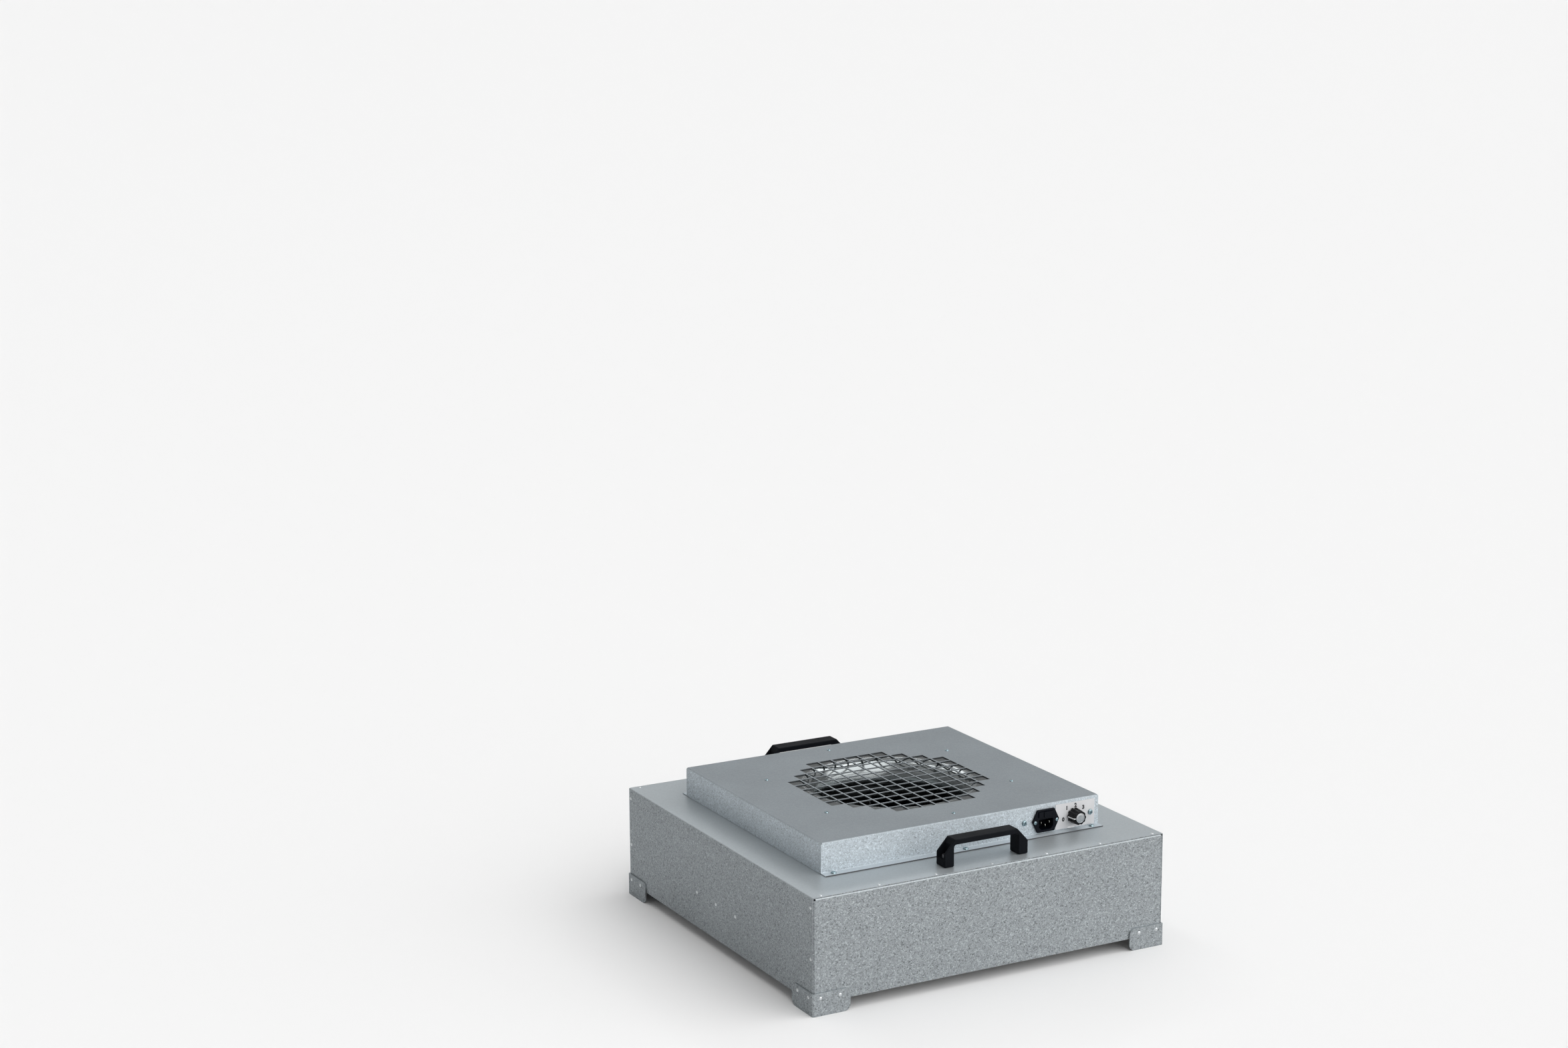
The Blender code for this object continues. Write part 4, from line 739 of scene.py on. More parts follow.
@dataclass(frozen=True)
class MetalFinish(Finish):
    """Cast, plated or drawn metal: fine grain, faint stains and a gloss that varies.

    The other worn finishes differ from it in their values alone.
    """

    pattern: Pattern = Pattern.GRAIN
    grain: float = 0.0005
    depth: float = 0.00002
    relief: float = 1.0
    drawn: float = 1.0
    stain_scale: float = 30.0
    stain_detail: float = 4.0
    stain_share: float = 1.0
    shade: Point = (0.82, 1.18)
    shade_over: Point = (0.0, 1.0)
    gloss_swing: Point = (-0.07, 0.09)
    sheen_level: float = 0.5
    clear: float = 0.0

    def paint(self, graph: Graph) -> None:
        """Bend the normal by the pattern, and let it and a cloudy noise vary colour and gloss.

        Args:
            graph: the material's node tree.
        """
        super().paint(graph)
        kind, output, waves, inputs, options = self.pattern.value
        place = graph.place()
        spot = graph.vector("MULTIPLY", place, (self.drawn, 1.0, 1.0))
        inputs = {"Vector": spot, "Scale": waves / self.grain, **inputs}
        fine = graph.add(kind, inputs, **options).outputs[output]
        stain = graph.noise(place, self.stain_scale, self.stain_detail).outputs[0]
        tone = graph.remap(graph.blend(stain, fine, self.stain_share), *self.shade, self.shade_over)
        graph.surface(
            Base_Color=graph.scaled(self.colour, tone),
            Roughness=self.around(graph, stain, self.gloss_swing),
            Normal=graph.bumped(fine, self.depth, self.relief),
            Specular_IOR_Level=self.sheen_level,
            Transmission_Weight=self.clear,
        )


@dataclass(frozen=True)
class PlasticFinish(MetalFinish):
    """Moulded plastic: a fine pebbled grain, rubbed a little smoother and greyer in places."""

    pattern: Pattern = Pattern.PEBBLES
    grain: float = 0.0004
    depth: float = 0.00003
    relief: float = 0.6
    stain_scale: float = 45.0
    shade: Point = (0.75, 1.25)
    gloss_swing: Point = (0.06, -0.06)
    sheen_level: float = 0.3


@dataclass(frozen=True)
class PaperFinish(MetalFinish):
    """Glass-fibre paper: a matt white felt of long fine fibres along X, over soft clouds."""

    pattern: Pattern = Pattern.FIBRES
    grain: float = 0.0006
    depth: float = 0.00012
    relief: float = 0.5
    drawn: float = 0.25
    stain_scale: float = 70.0
    stain_detail: float = 3.0
    stain_share: float = 0.5
    shade: Point = (0.9, 1.08)
    gloss_swing: Point = (0.0, 0.0)


@dataclass(frozen=True)
class FoamFinish(MetalFinish):
    """Closed-cell foam: tiny pores, dark and dented in the middle of each cell."""

    pattern: Pattern = Pattern.PEBBLES
    grain: float = 0.0011
    depth: float = 0.0003
    relief: float = 0.7
    stain_share: float = 0.0
    shade: Point = (0.5, 1.5)
    shade_over: Point = (0.0, 0.7)
    gloss_swing: Point = (0.0, 0.0)


@dataclass(frozen=True)
class WindingFinish(MetalFinish):
    """Varnished copper wire over a stack of thin steel sheets, as bands along the height."""

    pattern: Pattern = Pattern.BANDS
    grain: float = 0.0007
    depth: float = 0.0002
    relief: float = 0.6
    stain_share: float = 0.0
    shade: Point = (0.6, 1.3)
    gloss_swing: Point = (0.0, 0.0)


@dataclass(frozen=True)
class GlassFinish(MetalFinish):
    """Clear glass tube with a faint smear."""

    depth: float = 0.0
    stain_scale: float = 200.0
    stain_detail: float = 2.0
    shade: Point = (1.0, 1.0)
    gloss_swing: Point = (-0.03, 0.08)
    clear: float = 0.9


# Painted light: the housing's faces that look up or down are made lighter than its walls.
HOUSING_SHEET = GalvanisedFinish(
    "finish_housing_sheet", Slot.GALVANISED, (0.298, 0.322, 0.335), 0.4, 0.62, painted_flat_light=1.55
)
# Painted light: the cover's tops are made darker than its walls, its flange below 0.19 m keeps the walls'
# level; its grille's cut edges are darkened, partly as painted shade.
COVER_SHEET = GalvanisedFinish(
    "finish_cover_sheet",
    Slot.GALVANISED,
    (0.51, 0.56, 0.595),
    0.55,
    0.48,
    grain=0.0016,
    contrast=0.3,
    painted_flat_light=0.53,
    painted_flat_light_below=(0.19, 1.0),
    cut_edge_shade_within=0.16,
)
# Painted shade: the ring's flange beyond the bell, under the grille, is darkened.
RING_STEEL = SpunFinish(
    "finish_ring_steel", Slot.SPUN, (0.33, 0.355, 0.36), 0.17, 1.0, shade_and_dull_beyond=0.126, painted_shade_level=0.3
)
# Painted shade: the impeller and its blades are spun steel like the ring, made much darker to stand in for
# the shade inside the throat.
IMPELLER_STEEL_SHADED = SpunFinish("finish_impeller_steel_shaded", Slot.SPUN, (0.14, 0.147, 0.15), 0.28, 1.0)
BLADE_STEEL_SHADED = MetalFinish("finish_blade_steel_shaded", Slot.SPUN, (0.22, 0.23, 0.235), 0.24, 1.0)
# Painted shade: the cast rotor is coloured near black to stand in for the shade in the throat.
ROTOR_CAST_SHADED = SpunFinish("finish_rotor_cast_shaded", Slot.CAST, (0.022, 0.023, 0.025), 0.42, 0.3, groove=0.0006)
BARE_CAST = MetalFinish("finish_bare_cast", Slot.CAST, (0.55, 0.56, 0.57), 0.4, 1.0, depth=0.00004)
RAIL_ALUMINIUM = MetalFinish("finish_rail_aluminium", Slot.CAST, (0.60, 0.61, 0.62), 0.35, 1.0)
TURNED_STEEL = MetalFinish("finish_turned_steel", Slot.TURNED, (0.50, 0.50, 0.51), 0.3, 1.0)
BRIGHT_RIVET = MetalFinish("finish_bright_rivet", Slot.TURNED, (0.60, 0.625, 0.64), 0.32, 1.0)
ZINC_SCREW = MetalFinish("finish_zinc_screw", Slot.TURNED, (0.30, 0.39, 0.42), 0.2, 1.0)
DARK_STEEL = MetalFinish("finish_dark_steel", Slot.TURNED, (0.12, 0.12, 0.125), 0.38, 0.9)
HANDLE_NYLON = PlasticFinish(
    "finish_handle_nylon", Slot.NYLON, (0.006, 0.007, 0.009), 0.5, sheen_level=0.04
)
INLET_PLASTIC = PlasticFinish(
    "finish_inlet_plastic", Slot.NYLON, (0.003, 0.004, 0.007), 0.34, depth=0.000015, sheen_level=0.1
)
KNOB_PLASTIC = PlasticFinish(
    "finish_knob_plastic", Slot.GLOSS, (0.003, 0.003, 0.004), 0.12, depth=0.000005, sheen_level=0.18
)
SWITCH_PLASTIC = PlasticFinish("finish_switch_plastic", Slot.GLOSS, (0.012, 0.012, 0.013), 0.35)
LABEL_FILM = MetalFinish(
    "finish_label_film", Slot.LABEL, (0.61, 0.61, 0.62), 0.34, 0.0, grain=0.0009, depth=0.000008
)
WHITE_INK = Finish("finish_white_ink", Slot.LABEL, (0.85, 0.85, 0.85), 0.4)
BLACK_INK = Finish("finish_black_ink", Slot.LABEL, (0.012, 0.012, 0.014), 0.4)
FILTER_PAPER = PaperFinish("finish_filter_paper", Slot.PAPER, (0.80, 0.80, 0.78), 0.9)
GLUE_BEAD = MetalFinish("finish_glue_bead", Slot.PAPER, (0.74, 0.73, 0.68), 0.35, 0.0)
WHITE_PAINT = MetalFinish(
    "finish_white_paint", Slot.PAINT, (0.72, 0.73, 0.74), 0.38, 0.0, grain=0.0016, depth=0.00006
)
GASKET_FOAM = FoamFinish("finish_gasket_foam", Slot.FOAM, (0.045, 0.045, 0.05), 0.9)
COPPER_WIRE = WindingFinish("finish_copper_wire", Slot.COPPER, (0.42, 0.22, 0.12), 0.35, 0.7)
# Painted shade: the pins' brass is darkened well below brass to stand in for the shade deep in the socket.
BRASS = MetalFinish("finish_brass_shaded", Slot.BRASS, (0.20, 0.195, 0.18), 0.24, 1.0)
KNOB_CAP = BrushedCapFinish(
    "finish_knob_cap",
    Slot.CAST,
    (0.42, 0.43, 0.44),
    0.2,
    1.0,
    groove=0.0003,
    depth=0.000004,
    round_axis=Facing.FRONT,
)
FUSE_GLASS = GlassFinish("finish_fuse_glass", Slot.GLASS, (0.92, 0.94, 0.94), 0.06)
FLOOR_FINISH = Finish("finish_floor", Slot.PAINT, (0.80, 0.80, 0.80), 0.8)


def dress(finish: Finish, *nodes: str) -> None:
    """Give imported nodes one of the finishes.

    Args:
        finish: the finish.
        nodes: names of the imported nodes.
    """
    for node in nodes:
        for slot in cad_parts[node].material_slots:
            slot.material = finish.material()
    LOG.info("%s on %s", finish.name, ", ".join(nodes))


def enter(piece: bpy.types.Object, body: Body, stands_for: tuple[str, ...] = ()) -> None:
    """Tell the frame about a finished piece.

    Args:
        piece: the object.
        body: what it moves with.
        stands_for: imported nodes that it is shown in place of.
    """
    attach(piece, body.value)
    if stands_for:
        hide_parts(*stands_for)
    LOG.info("%s: %d faces", piece.name, len(piece.data.polygons))


def add_piece(
    name: str,
    shape: Shape,
    finishes: list[Finish],
    body: Body = Body.HOUSING,
    stands_for: tuple[str, ...] = (),
    edge: float = 0.0,
    cuts: tuple[Shape, ...] = (),
    joins: tuple[Shape, ...] = (),
    first_edge: float = 0.0,
) -> None:
    """Make a piece of a shape and set it into the frame.

    Args:
        name: the piece's name.
        shape: its surface.
        finishes: its finishes, by the number that its faces hold.
        body: what it moves with.
        stands_for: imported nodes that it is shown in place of.
        edge: width of its rounded edges, or 0 for none.
        cuts: shapes cut out of it.
        joins: shapes joined to it before that.
        first_edge: width of the edges that are rounded before all else, or 0 for none.
    """
    mesh = mesh_of(name, shape)
    for finish in finishes:
        mesh.materials.append(finish.material())
    piece = link_piece(name, mesh)
    if first_edge:
        soften(piece, first_edge, FEW_STEPS)
        settle(piece)
    for tool in joins:
        carve(piece, tool, Carving.JOIN)
    for tool in cuts:
        carve(piece, tool)
    if edge:
        soften(piece, edge)
    enter(piece, body, stands_for)


@dataclass(frozen=True)
class Rivet:
    """Blind rivet: a low bright dome with the dimple that its mandrel leaves."""

    radius: float = 0.0027
    height: float = 0.0010
    dimple: float = 0.0008
    dimple_foot: float = 0.8
    dimple_depth: float = 0.0004
    sunk: float = 0.0002
    rings: int = 6
    steps: int = 16

    def shape(self) -> Shape:
        """Dome z = h sqrt(1 - (r / R)^2), with a flat-bottomed dimple in its middle.

        Returns:
            The dome as a closed surface.
        """
        floor = self.height - self.dimple_depth
        reach = np.linspace(self.dimple, self.radius, self.rings)
        dome = self.height * np.sqrt(np.clip(1 - (reach / self.radius) ** 2, 0, 1))
        middle = ((0, floor), (self.dimple * self.dimple_foot, floor))
        foot = ((self.radius, -self.sunk), (0, -self.sunk))
        return turned(np.vstack((middle, np.column_stack((reach, dome)), foot)), self.steps)


@dataclass(frozen=True)
class CrossScrew:
    """Pan-head screw with a cross recess."""

    radius: float = 0.0034
    height: float = 0.0022
    slot_reach: float = 0.0019
    slot_half_width: float = 0.00045
    slot_depth: float = 0.0012
    sunk: float = 0.0002
    slot_wall: float = 0.0001
    rings: int = 12
    steps: int = 40

    def shape(self) -> Shape:
        """Head z = h (1 - (r / R)^4)^(1/2), lowered by the slot depth where |x| or |y| is in the slot.

        Returns:
            The head as a closed surface. The slot's sides fall over the width of the slot's wall.
        """
        share = np.linspace(0, 1, self.rings)[:, None]
        angles = np.arange(self.steps) * math.tau / self.steps
        radius = self.radius * share * np.ones(self.steps)
        x, y = np.abs(radius * np.cos(angles)), np.abs(radius * np.sin(angles))

        def inside(distance: Array, limit: float) -> Array:
            """One within the limit, none beyond it, with a steep fall between."""
            return np.clip((limit - distance) / self.slot_wall + 0.5, 0, 1)

        first = inside(x, self.slot_half_width) * inside(y, self.slot_reach)
        second = inside(y, self.slot_half_width) * inside(x, self.slot_reach)
        height = self.height * np.sqrt(1 - share**4) - self.slot_depth * np.maximum(first, second)
        top = np.stack((radius * np.cos(angles), radius * np.sin(angles), height), axis=-1)
        foot = top[-1:].copy()
        foot[..., 2] = -self.sunk
        pole = np.zeros_like(foot)
        pole[..., 2] = -self.sunk
        points = np.concatenate((top, foot, pole))
        return Shape(points.reshape(-1, 3), [quads(self.rings + 2, self.steps, False, True)])


@dataclass(frozen=True)
class Housing:
    """Folded housing: its sheets keep their solids, and its rivets are added."""

    top_rivets: int = 7
    top_rivet_span: float = 0.5444
    top_rivet_inset: float = 0.0053
    edge_rivet_inset: float = 0.0059
    edge_rivet_heights: tuple[float, float] = (0.1528, 0.0800)
    channel_rivet_pitch: float = 0.060
    channel_rivet_height: float = 0.0710

    def rivet_seats(self) -> list[Array]:
        """Seats of the rivets along the top's front and rear edge and on both side walls.

        Returns:
            A matrix for each rivet.
        """
        low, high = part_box("housing_wrapper")
        reach = high.y - self.top_rivet_inset
        across = np.linspace(-self.top_rivet_span / 2, self.top_rivet_span / 2, self.top_rivets)
        seats = [seat_at((x, y, high.z)) for x in across for y in (-reach, reach)]
        edge = high.y - self.edge_rivet_inset
        for side, facing in ((low.x, Facing.LEFT), (high.x, Facing.RIGHT)):
            for level in self.edge_rivet_heights:
                seats += [seat_at((side, y, level), facing) for y in (-edge, edge)]
            for number in (-1, 0, 1):
                place = (side, number * self.channel_rivet_pitch, self.channel_rivet_height)
                seats.append(seat_at(place, facing))
        return seats

    def build(self) -> None:
        """Dress the sheets and set the rivets."""
        dress(HOUSING_SHEET, "housing_wrapper", "front_panel", "rear_panel")
        add_piece("housing_rivets", Rivet().shape().copies(self.rivet_seats()), [BRIGHT_RIVET])


@dataclass(frozen=True)
class CornerBracket:
    """Foot bracket: one strip bent round the housing's corner, with a gusset under the filter."""

    sheet: float = 0.002
    bend: float = 0.003
    foot_radius: float = 0.010
    corner_radius: float = 0.009
    gusset_reach: float = 0.045
    gusset_thickness: float = 0.0016
    gusset_radius: float = 0.002
    bend_middle: float = 225.0
    foot_steps: int = 14
    bend_steps: int = 7
    side_steps: int = 5
    edge: float = 0.0004
    rivet_places: tuple[float, float] = (0.0124, 0.0428)
    rivet_height: float = 0.0251

    def strip(self, arm: float, height: float) -> Shape:
        """Strip P(s, t), s along its unrolled length from the bend's middle, t from foot to top edge.

        Args:
            arm: reach of each arm from the outer corner.
            height: height of the strip.

        Returns:
            The bent sheet. In the bend the point is the bend's centre plus radius (cos a, sin a) with
            a = 225 degrees + s / radius, and beyond it the point runs straight on. The foot edge is
            z = R - sqrt(R^2 - d^2), d being how far s reaches into the last R of the arm.
        """
        quarter = math.pi * self.bend / 4
        end = arm - self.bend + quarter
        curl = np.sin(np.linspace(0, math.pi / 2, self.foot_steps))
        into = end - self.foot_radius + self.foot_radius * curl
        flat = np.linspace(quarter, into[0], self.side_steps)[1:-1]
        half = np.concatenate((np.linspace(0, quarter, self.bend_steps), flat, into))
        s = np.concatenate((-half[:0:-1], half))
        held = np.clip(s, -quarter, quarter)
        angle = math.radians(self.bend_middle) + held / self.bend
        out = np.column_stack((np.cos(angle), np.sin(angle)))
        beyond = s - held
        plan = self.bend * (1 + out) + np.column_stack((np.maximum(beyond, 0), np.maximum(-beyond, 0)))

        def fall(radius: float) -> Array:
            """How far an edge has curled away at each s, for a corner of that radius."""
            reach = np.clip(np.abs(s) - (end - radius), 0, radius)
            return radius - np.sqrt(radius**2 - reach**2)

        low, high = fall(self.foot_radius), height - fall(self.corner_radius)
        share = np.linspace(0, 1, self.side_steps)[:, None]
        level = low + (high - low) * share
        sides = []
        for depth in (0.0, self.sheet):
            moved = plan - out * depth
            grid = np.broadcast_to(moved, (len(share), *moved.shape))
            sides.append(np.concatenate((grid, level[..., None]), axis=-1))
        return slab(sides[0], sides[1])

    def shape(self, arm: float, height: float, filter_foot: float) -> Shape:
        """Join the strip and its gusset, a plate that bites half-way into both arms.

        Args:
            arm: reach of each arm from the outer corner.
            height: height of the strip.
            filter_foot: height of the filter's underside.

        Returns:
            Strip and gusset, each a closed surface.
        """
        bite, reach, tip = self.sheet / 2, self.gusset_reach, self.gusset_radius
        top = filter_foot - FIT
        outline = rounded([(bite, bite), (reach, bite, tip), (bite, reach, tip)])
        return join([self.strip(arm, height), prism(outline, top - self.gusset_thickness, top)])

    def build(self) -> None:
        """Make the four brackets and their rivets."""
        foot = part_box("housing_wrapper")[0].z
        rivets = []
        corners = ("front_left", "front_right", "rear_right", "rear_left")
        for name, quarters in zip(corners, (0, 1, 2, -1)):
            node = f"corner_bracket_{name}"
            low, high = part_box(node)
            x = low.x if "left" in name else high.x
            y = low.y if "front" in name else high.y
            seat = seat_at((x, y, 0.0), Facing.UP, quarters * math.pi / 2)
            shape = self.shape(high.x - low.x, high.z - low.z, foot).placed(seat)
            add_piece(f"foot_{name}", shape, [HOUSING_SHEET], stands_for=(node,), edge=self.edge)
            for reach in self.rivet_places:
                along_x = seat_at((reach, 0.0, self.rivet_height), Facing.FRONT)
                along_y = seat_at((0.0, reach, self.rivet_height), Facing.LEFT)
                rivets += [seat @ along_x, seat @ along_y]
        add_piece("bracket_rivets", Rivet().shape().copies(rivets), [BRIGHT_RIVET])


@dataclass(frozen=True)
class IntakeCover:
    """Raised cover with the grille: its sheet keeps its solid, and its screws are added."""

    flange_screw_x: tuple[float, ...] = (-0.214, 0.0, 0.214)
    flange_screw_inset: float = 0.0065
    flange_rise: float = 0.0015
    flange_sheet: float = 0.0012
    cut_edge: float = 0.00012
    ring_screw_radius: float = 0.180
    ring_screws: int = 6
    wall_screw_x: tuple[float, ...] = (0.1027, 0.2156)
    wall_screw_height: float = 0.1890
    large: CrossScrew = CrossScrew(radius=0.0042, height=0.0024, slot_reach=0.0024)
    small: CrossScrew = CrossScrew(radius=0.0030, height=0.0016)
    spins: tuple[float, float, int] = (0.3, 8.0, 40)

    def build(self) -> None:
        """Dress the cover and set the flange, ring and wall screws."""
        dress(COVER_SHEET, "intake_cover")
        low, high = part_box("intake_cover")
        flange_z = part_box("housing_wrapper")[1].z + self.flange_rise
        reach = high.y - self.flange_screw_inset
        spins = iter(np.linspace(*self.spins))
        spots = [(x, y, flange_z) for x in self.flange_screw_x for y in (-reach, reach)]
        flange = [seat_at(spot, Facing.UP, next(spins)) for spot in spots]
        add_piece("flange_screws", self.large.shape().copies(flange), [ZINC_SCREW])
        # Dark strips on the flange's front and rear edge: partly the sheared edge's own dark steel, partly
        # painted shade of the gap under the flange.
        edges = []
        for side in (-1, 1):
            middle = (side * high.y, flange_z - self.flange_sheet / 2)
            outline = np.array(rectangle(2 * self.cut_edge, self.flange_sheet, middle))
            edges.append(prism(outline, low.x + self.cut_edge, high.x - self.cut_edge))
        add_piece("flange_edge_shade_strips", join(edges).placed(seat_at((0, 0, 0), Facing.RIGHT)), [DARK_STEEL])
        angles = math.tau * np.arange(1, self.ring_screws + 1) / self.ring_screws
        around = self.ring_screw_radius * np.column_stack((np.sin(angles), np.cos(angles)))
        ring = [seat_at((x, y, high.z), Facing.UP, next(spins)) for x, y in around.tolist()]
        add_piece("ring_screws", self.small.shape().copies(ring), [ZINC_SCREW])
        plate, plate_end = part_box("label_plate")
        wall = []
        for x in self.wall_screw_x:
            front = plate.y if plate.x < x else plate_end.y + FIT
            wall.append(seat_at((x, front, self.wall_screw_height), Facing.FRONT, next(spins)))
        add_piece("wall_screws", self.large.shape().copies(wall), [ZINC_SCREW])


@dataclass(frozen=True)
class AirPath:
    """Spun inlet ring, and the impeller that turns under it."""

    throat: float = 0.103
    bell: float = 0.024
    bell_depth: float = 0.0355
    sheet: float = 0.0012
    neck: float = 0.1069
    outer: float = 0.140
    overrun: float = 0.006
    drop: float = 0.034
    blade_inner: float = 0.084
    blade_tip: float = 0.137
    blade_top_inner: float = 0.113
    blade_angle: float = math.radians(38)
    blade_sheet: float = 0.0014
    blade_gap: float = 0.0006
    blades: int = 7
    rotor_bite: float = 0.0037
    plate_edge: float = 0.0006
    edge: float = 0.0003
    bell_steps: int = 28
    flange_steps: int = 6
    blade_steps: tuple[int, int] = (30, 8)
    round_steps: int = 144

    def ring(self) -> Shape:
        """Flat flange, then the bell r = throat + bell (1 - sin a), z = top - depth (1 - cos a).

        Returns:
            The ring, a closed section carried round the fan's axis.
        """
        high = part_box("inlet_ring")[1]
        angle = np.linspace(0, math.pi / 2, self.bell_steps)
        bell = np.column_stack(
            (self.throat + self.bell * (1 - np.sin(angle)), high.z - self.bell_depth * (1 - np.cos(angle)))
        )
        edge = np.linspace(high.x, self.throat + self.bell, self.flange_steps)[:-1]
        curve = np.vstack((np.column_stack((edge, np.full(len(edge), high.z))), bell))
        return turned(sheet_section(curve, self.sheet), self.round_steps, closed=True)

    def shroud_top(self, angle: Array) -> Array:
        """Points r = outer + overrun - width cos a, z = neck top - drop sin a, from the neck outwards.

        Args:
            angle: the angles a.

        Returns:
            A point (r, z) for each angle.
        """
        reach = self.outer + self.overrun
        radius = reach - (reach - self.neck) * np.cos(angle)
        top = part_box("impeller_shroud")[1].z
        return np.column_stack((radius, top - self.drop * np.sin(angle)))

    def shroud(self) -> Shape:
        """Carry the shroud's curve, with its sheet underneath, round the axis.

        Returns:
            The shroud as a closed surface.
        """
        width = self.outer + self.overrun - self.neck
        end = math.acos(self.overrun / width)
        curve = self.shroud_top(np.linspace(0, end, self.blade_steps[0]))
        return turned(sheet_section(curve, -self.sheet), self.round_steps, closed=True)

    def underside(self, radius: Array) -> Array:
        """Height under the shroud: its curve less the sheet's thickness measured along its slope.

        Args:
            radius: distances from the axis.

        Returns:
            The height at each distance.
        """
        width = self.outer + self.overrun - self.neck
        angle = np.arccos(np.clip((self.outer + self.overrun - radius) / width, 0, 1))
        slope = np.hypot(width * np.sin(angle), self.drop * np.cos(angle))
        top = self.shroud_top(angle.ravel())[:, 1].reshape(radius.shape)
        return top - self.sheet * slope / (width * np.sin(angle))

    def blade(self) -> Shape:
        """Blade P(s, t): a spiral r, angle = ln(r / inner) / tan(blade angle), raised from foot to shroud.

        Returns:
            One blade, whose sides lie half a sheet to the left and right of the spiral.
        """
        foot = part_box("impeller_blade_1")[0].z
        start = (self.blade_top_inner - self.blade_inner) / (self.blade_tip - self.blade_inner)
        s, t = np.meshgrid(*(np.linspace(0, 1, steps) for steps in self.blade_steps))
        share = s + t * (1 - s) * start
        radius = self.blade_inner + (self.blade_tip - self.blade_inner) * share
        sweep = np.log(radius / self.blade_inner) / math.tan(self.blade_angle)
        run = sweep + math.pi / 2 - self.blade_angle
        height = foot + t * (self.underside(radius) - self.blade_gap - foot)
        sides = []
        for side in (-0.5, 0.5):
            shift = side * self.blade_sheet
            x = radius * np.cos(sweep) - shift * np.sin(run)
            y = radius * np.sin(sweep) + shift * np.cos(run)
            sides.append(np.stack((x, y, height), axis=-1))
        return slab(sides[0], sides[1])

    def backplate(self) -> Shape:
        """Carry a flat section with rounded edges round the axis.

        Returns:
            The plate as a closed ring.
        """
        low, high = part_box("impeller_backplate")
        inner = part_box("rotor_can")[1].x - self.rotor_bite
        middle = ((inner + high.x) / 2, (low.z + high.z) / 2)
        section = rounded(rectangle(high.x - inner, high.z - low.z, middle), self.plate_edge, FEW_STEPS)
        return turned(section, self.round_steps, closed=True)

    def build(self) -> None:
        """Make the ring, the shroud, the backplate and the blades."""
        add_piece("spun_inlet_ring", self.ring(), [RING_STEEL], Body.HOUSING, ("inlet_ring",), self.edge)
        add_piece("fan_shroud", self.shroud(), [IMPELLER_STEEL_SHADED], Body.FAN, ("impeller_shroud",), self.edge)
        add_piece("fan_backplate", self.backplate(), [IMPELLER_STEEL_SHADED], Body.FAN, ("impeller_backplate",))
        blade = self.blade()
        for number in range(self.blades):
            shape = blade.placed(seat_at((0, 0, 0), Facing.UP, math.tau * number / self.blades))
            node = f"impeller_blade_{number + 1}"
            add_piece(f"fan_blade_{number + 1}", shape, [BLADE_STEEL_SHADED], Body.FAN, (node,), self.edge)


@dataclass(frozen=True)
class Rotor:
    """Outer rotor of the motor with its crown and boss, and the shaft end in the boss."""

    radius: float = 0.051
    wall: float = 0.0045
    rim_width: float = 0.004
    rim_rise: float = 0.0125
    rim_thickness: float = 0.0025
    height: float = 0.058
    crown: float = 0.008
    crown_radius: float = 0.0315
    boss_radius: float = 0.012
    boss_height: float = 0.005
    bore: float = 0.0043
    edge: float = 0.0008
    crown_edge: float = 0.0015
    step_edge: float = 0.0012
    boss_edge: float = 0.001
    bore_edge: float = 0.0003
    inner_edge: float = 0.0005
    shaft_radius: float = 0.004
    shaft_chamfer: float = 0.0006
    collar: Point = (0.0015, 0.003)
    centre_mark: Point = (0.0009, 0.0008)

    def can(self) -> Shape:
        """Carry a closed section of the can, with corners (r, z, corner radius), round the axis.

        Returns:
            The can as a closed surface.
        """
        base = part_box("rotor_can")[0].z
        top, rim = base + self.height, base + self.rim_rise
        crown, inner = top + self.crown, self.radius - self.wall
        step, boss_top = self.crown / 2, crown + self.boss_height
        out, lip, rim_top = self.radius, self.radius + self.rim_width, rim + self.rim_thickness
        corners = [
            (inner, base, self.edge),
            (out, base, self.edge),
            (out, rim, self.edge),
            (lip, rim, self.edge),
            (lip, rim_top, self.edge),
            (out, rim_top, self.edge),
            (out, top, self.crown_edge),
            (out - step, top + step, self.crown_edge),
            (self.crown_radius + self.step_edge, top + step, self.step_edge),
            (self.crown_radius, crown, self.crown_edge),
            (self.boss_radius, crown, self.boss_edge),
            (self.boss_radius, boss_top, self.edge),
            (self.bore, boss_top, self.bore_edge),
            (self.bore, top, self.inner_edge),
            (inner, top, self.inner_edge),
        ]
        return turned(rounded(corners, steps=5), FINE_STEPS, closed=True)

    def shaft(self) -> Shape:
        """Turn a plain shaft with a chamfered end and the collar on its lower bearing.

        Returns:
            The shaft as a closed surface.
        """
        low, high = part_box("motor_shaft")
        radius, (start, end), (mark, deep) = self.shaft_radius, self.collar, self.centre_mark
        profile = [
            (0, low.z),
            (radius, low.z),
            (radius, low.z + start),
            (high.x, low.z + start),
            (high.x, low.z + end),
            (radius, low.z + end),
            (radius, high.z - self.shaft_chamfer),
            (radius - self.shaft_chamfer, high.z),
            (mark, high.z),
            (0, high.z - deep),
        ]
        return turned(np.array(profile), FINE_STEPS // 2)

    def build(self) -> None:
        """Make the can and the shaft."""
        add_piece("motor_rotor", self.can(), [ROTOR_CAST_SHADED], Body.FAN, ("rotor_can",))
        add_piece("rotor_shaft", self.shaft(), [TURNED_STEEL], Body.FAN, ("motor_shaft",))


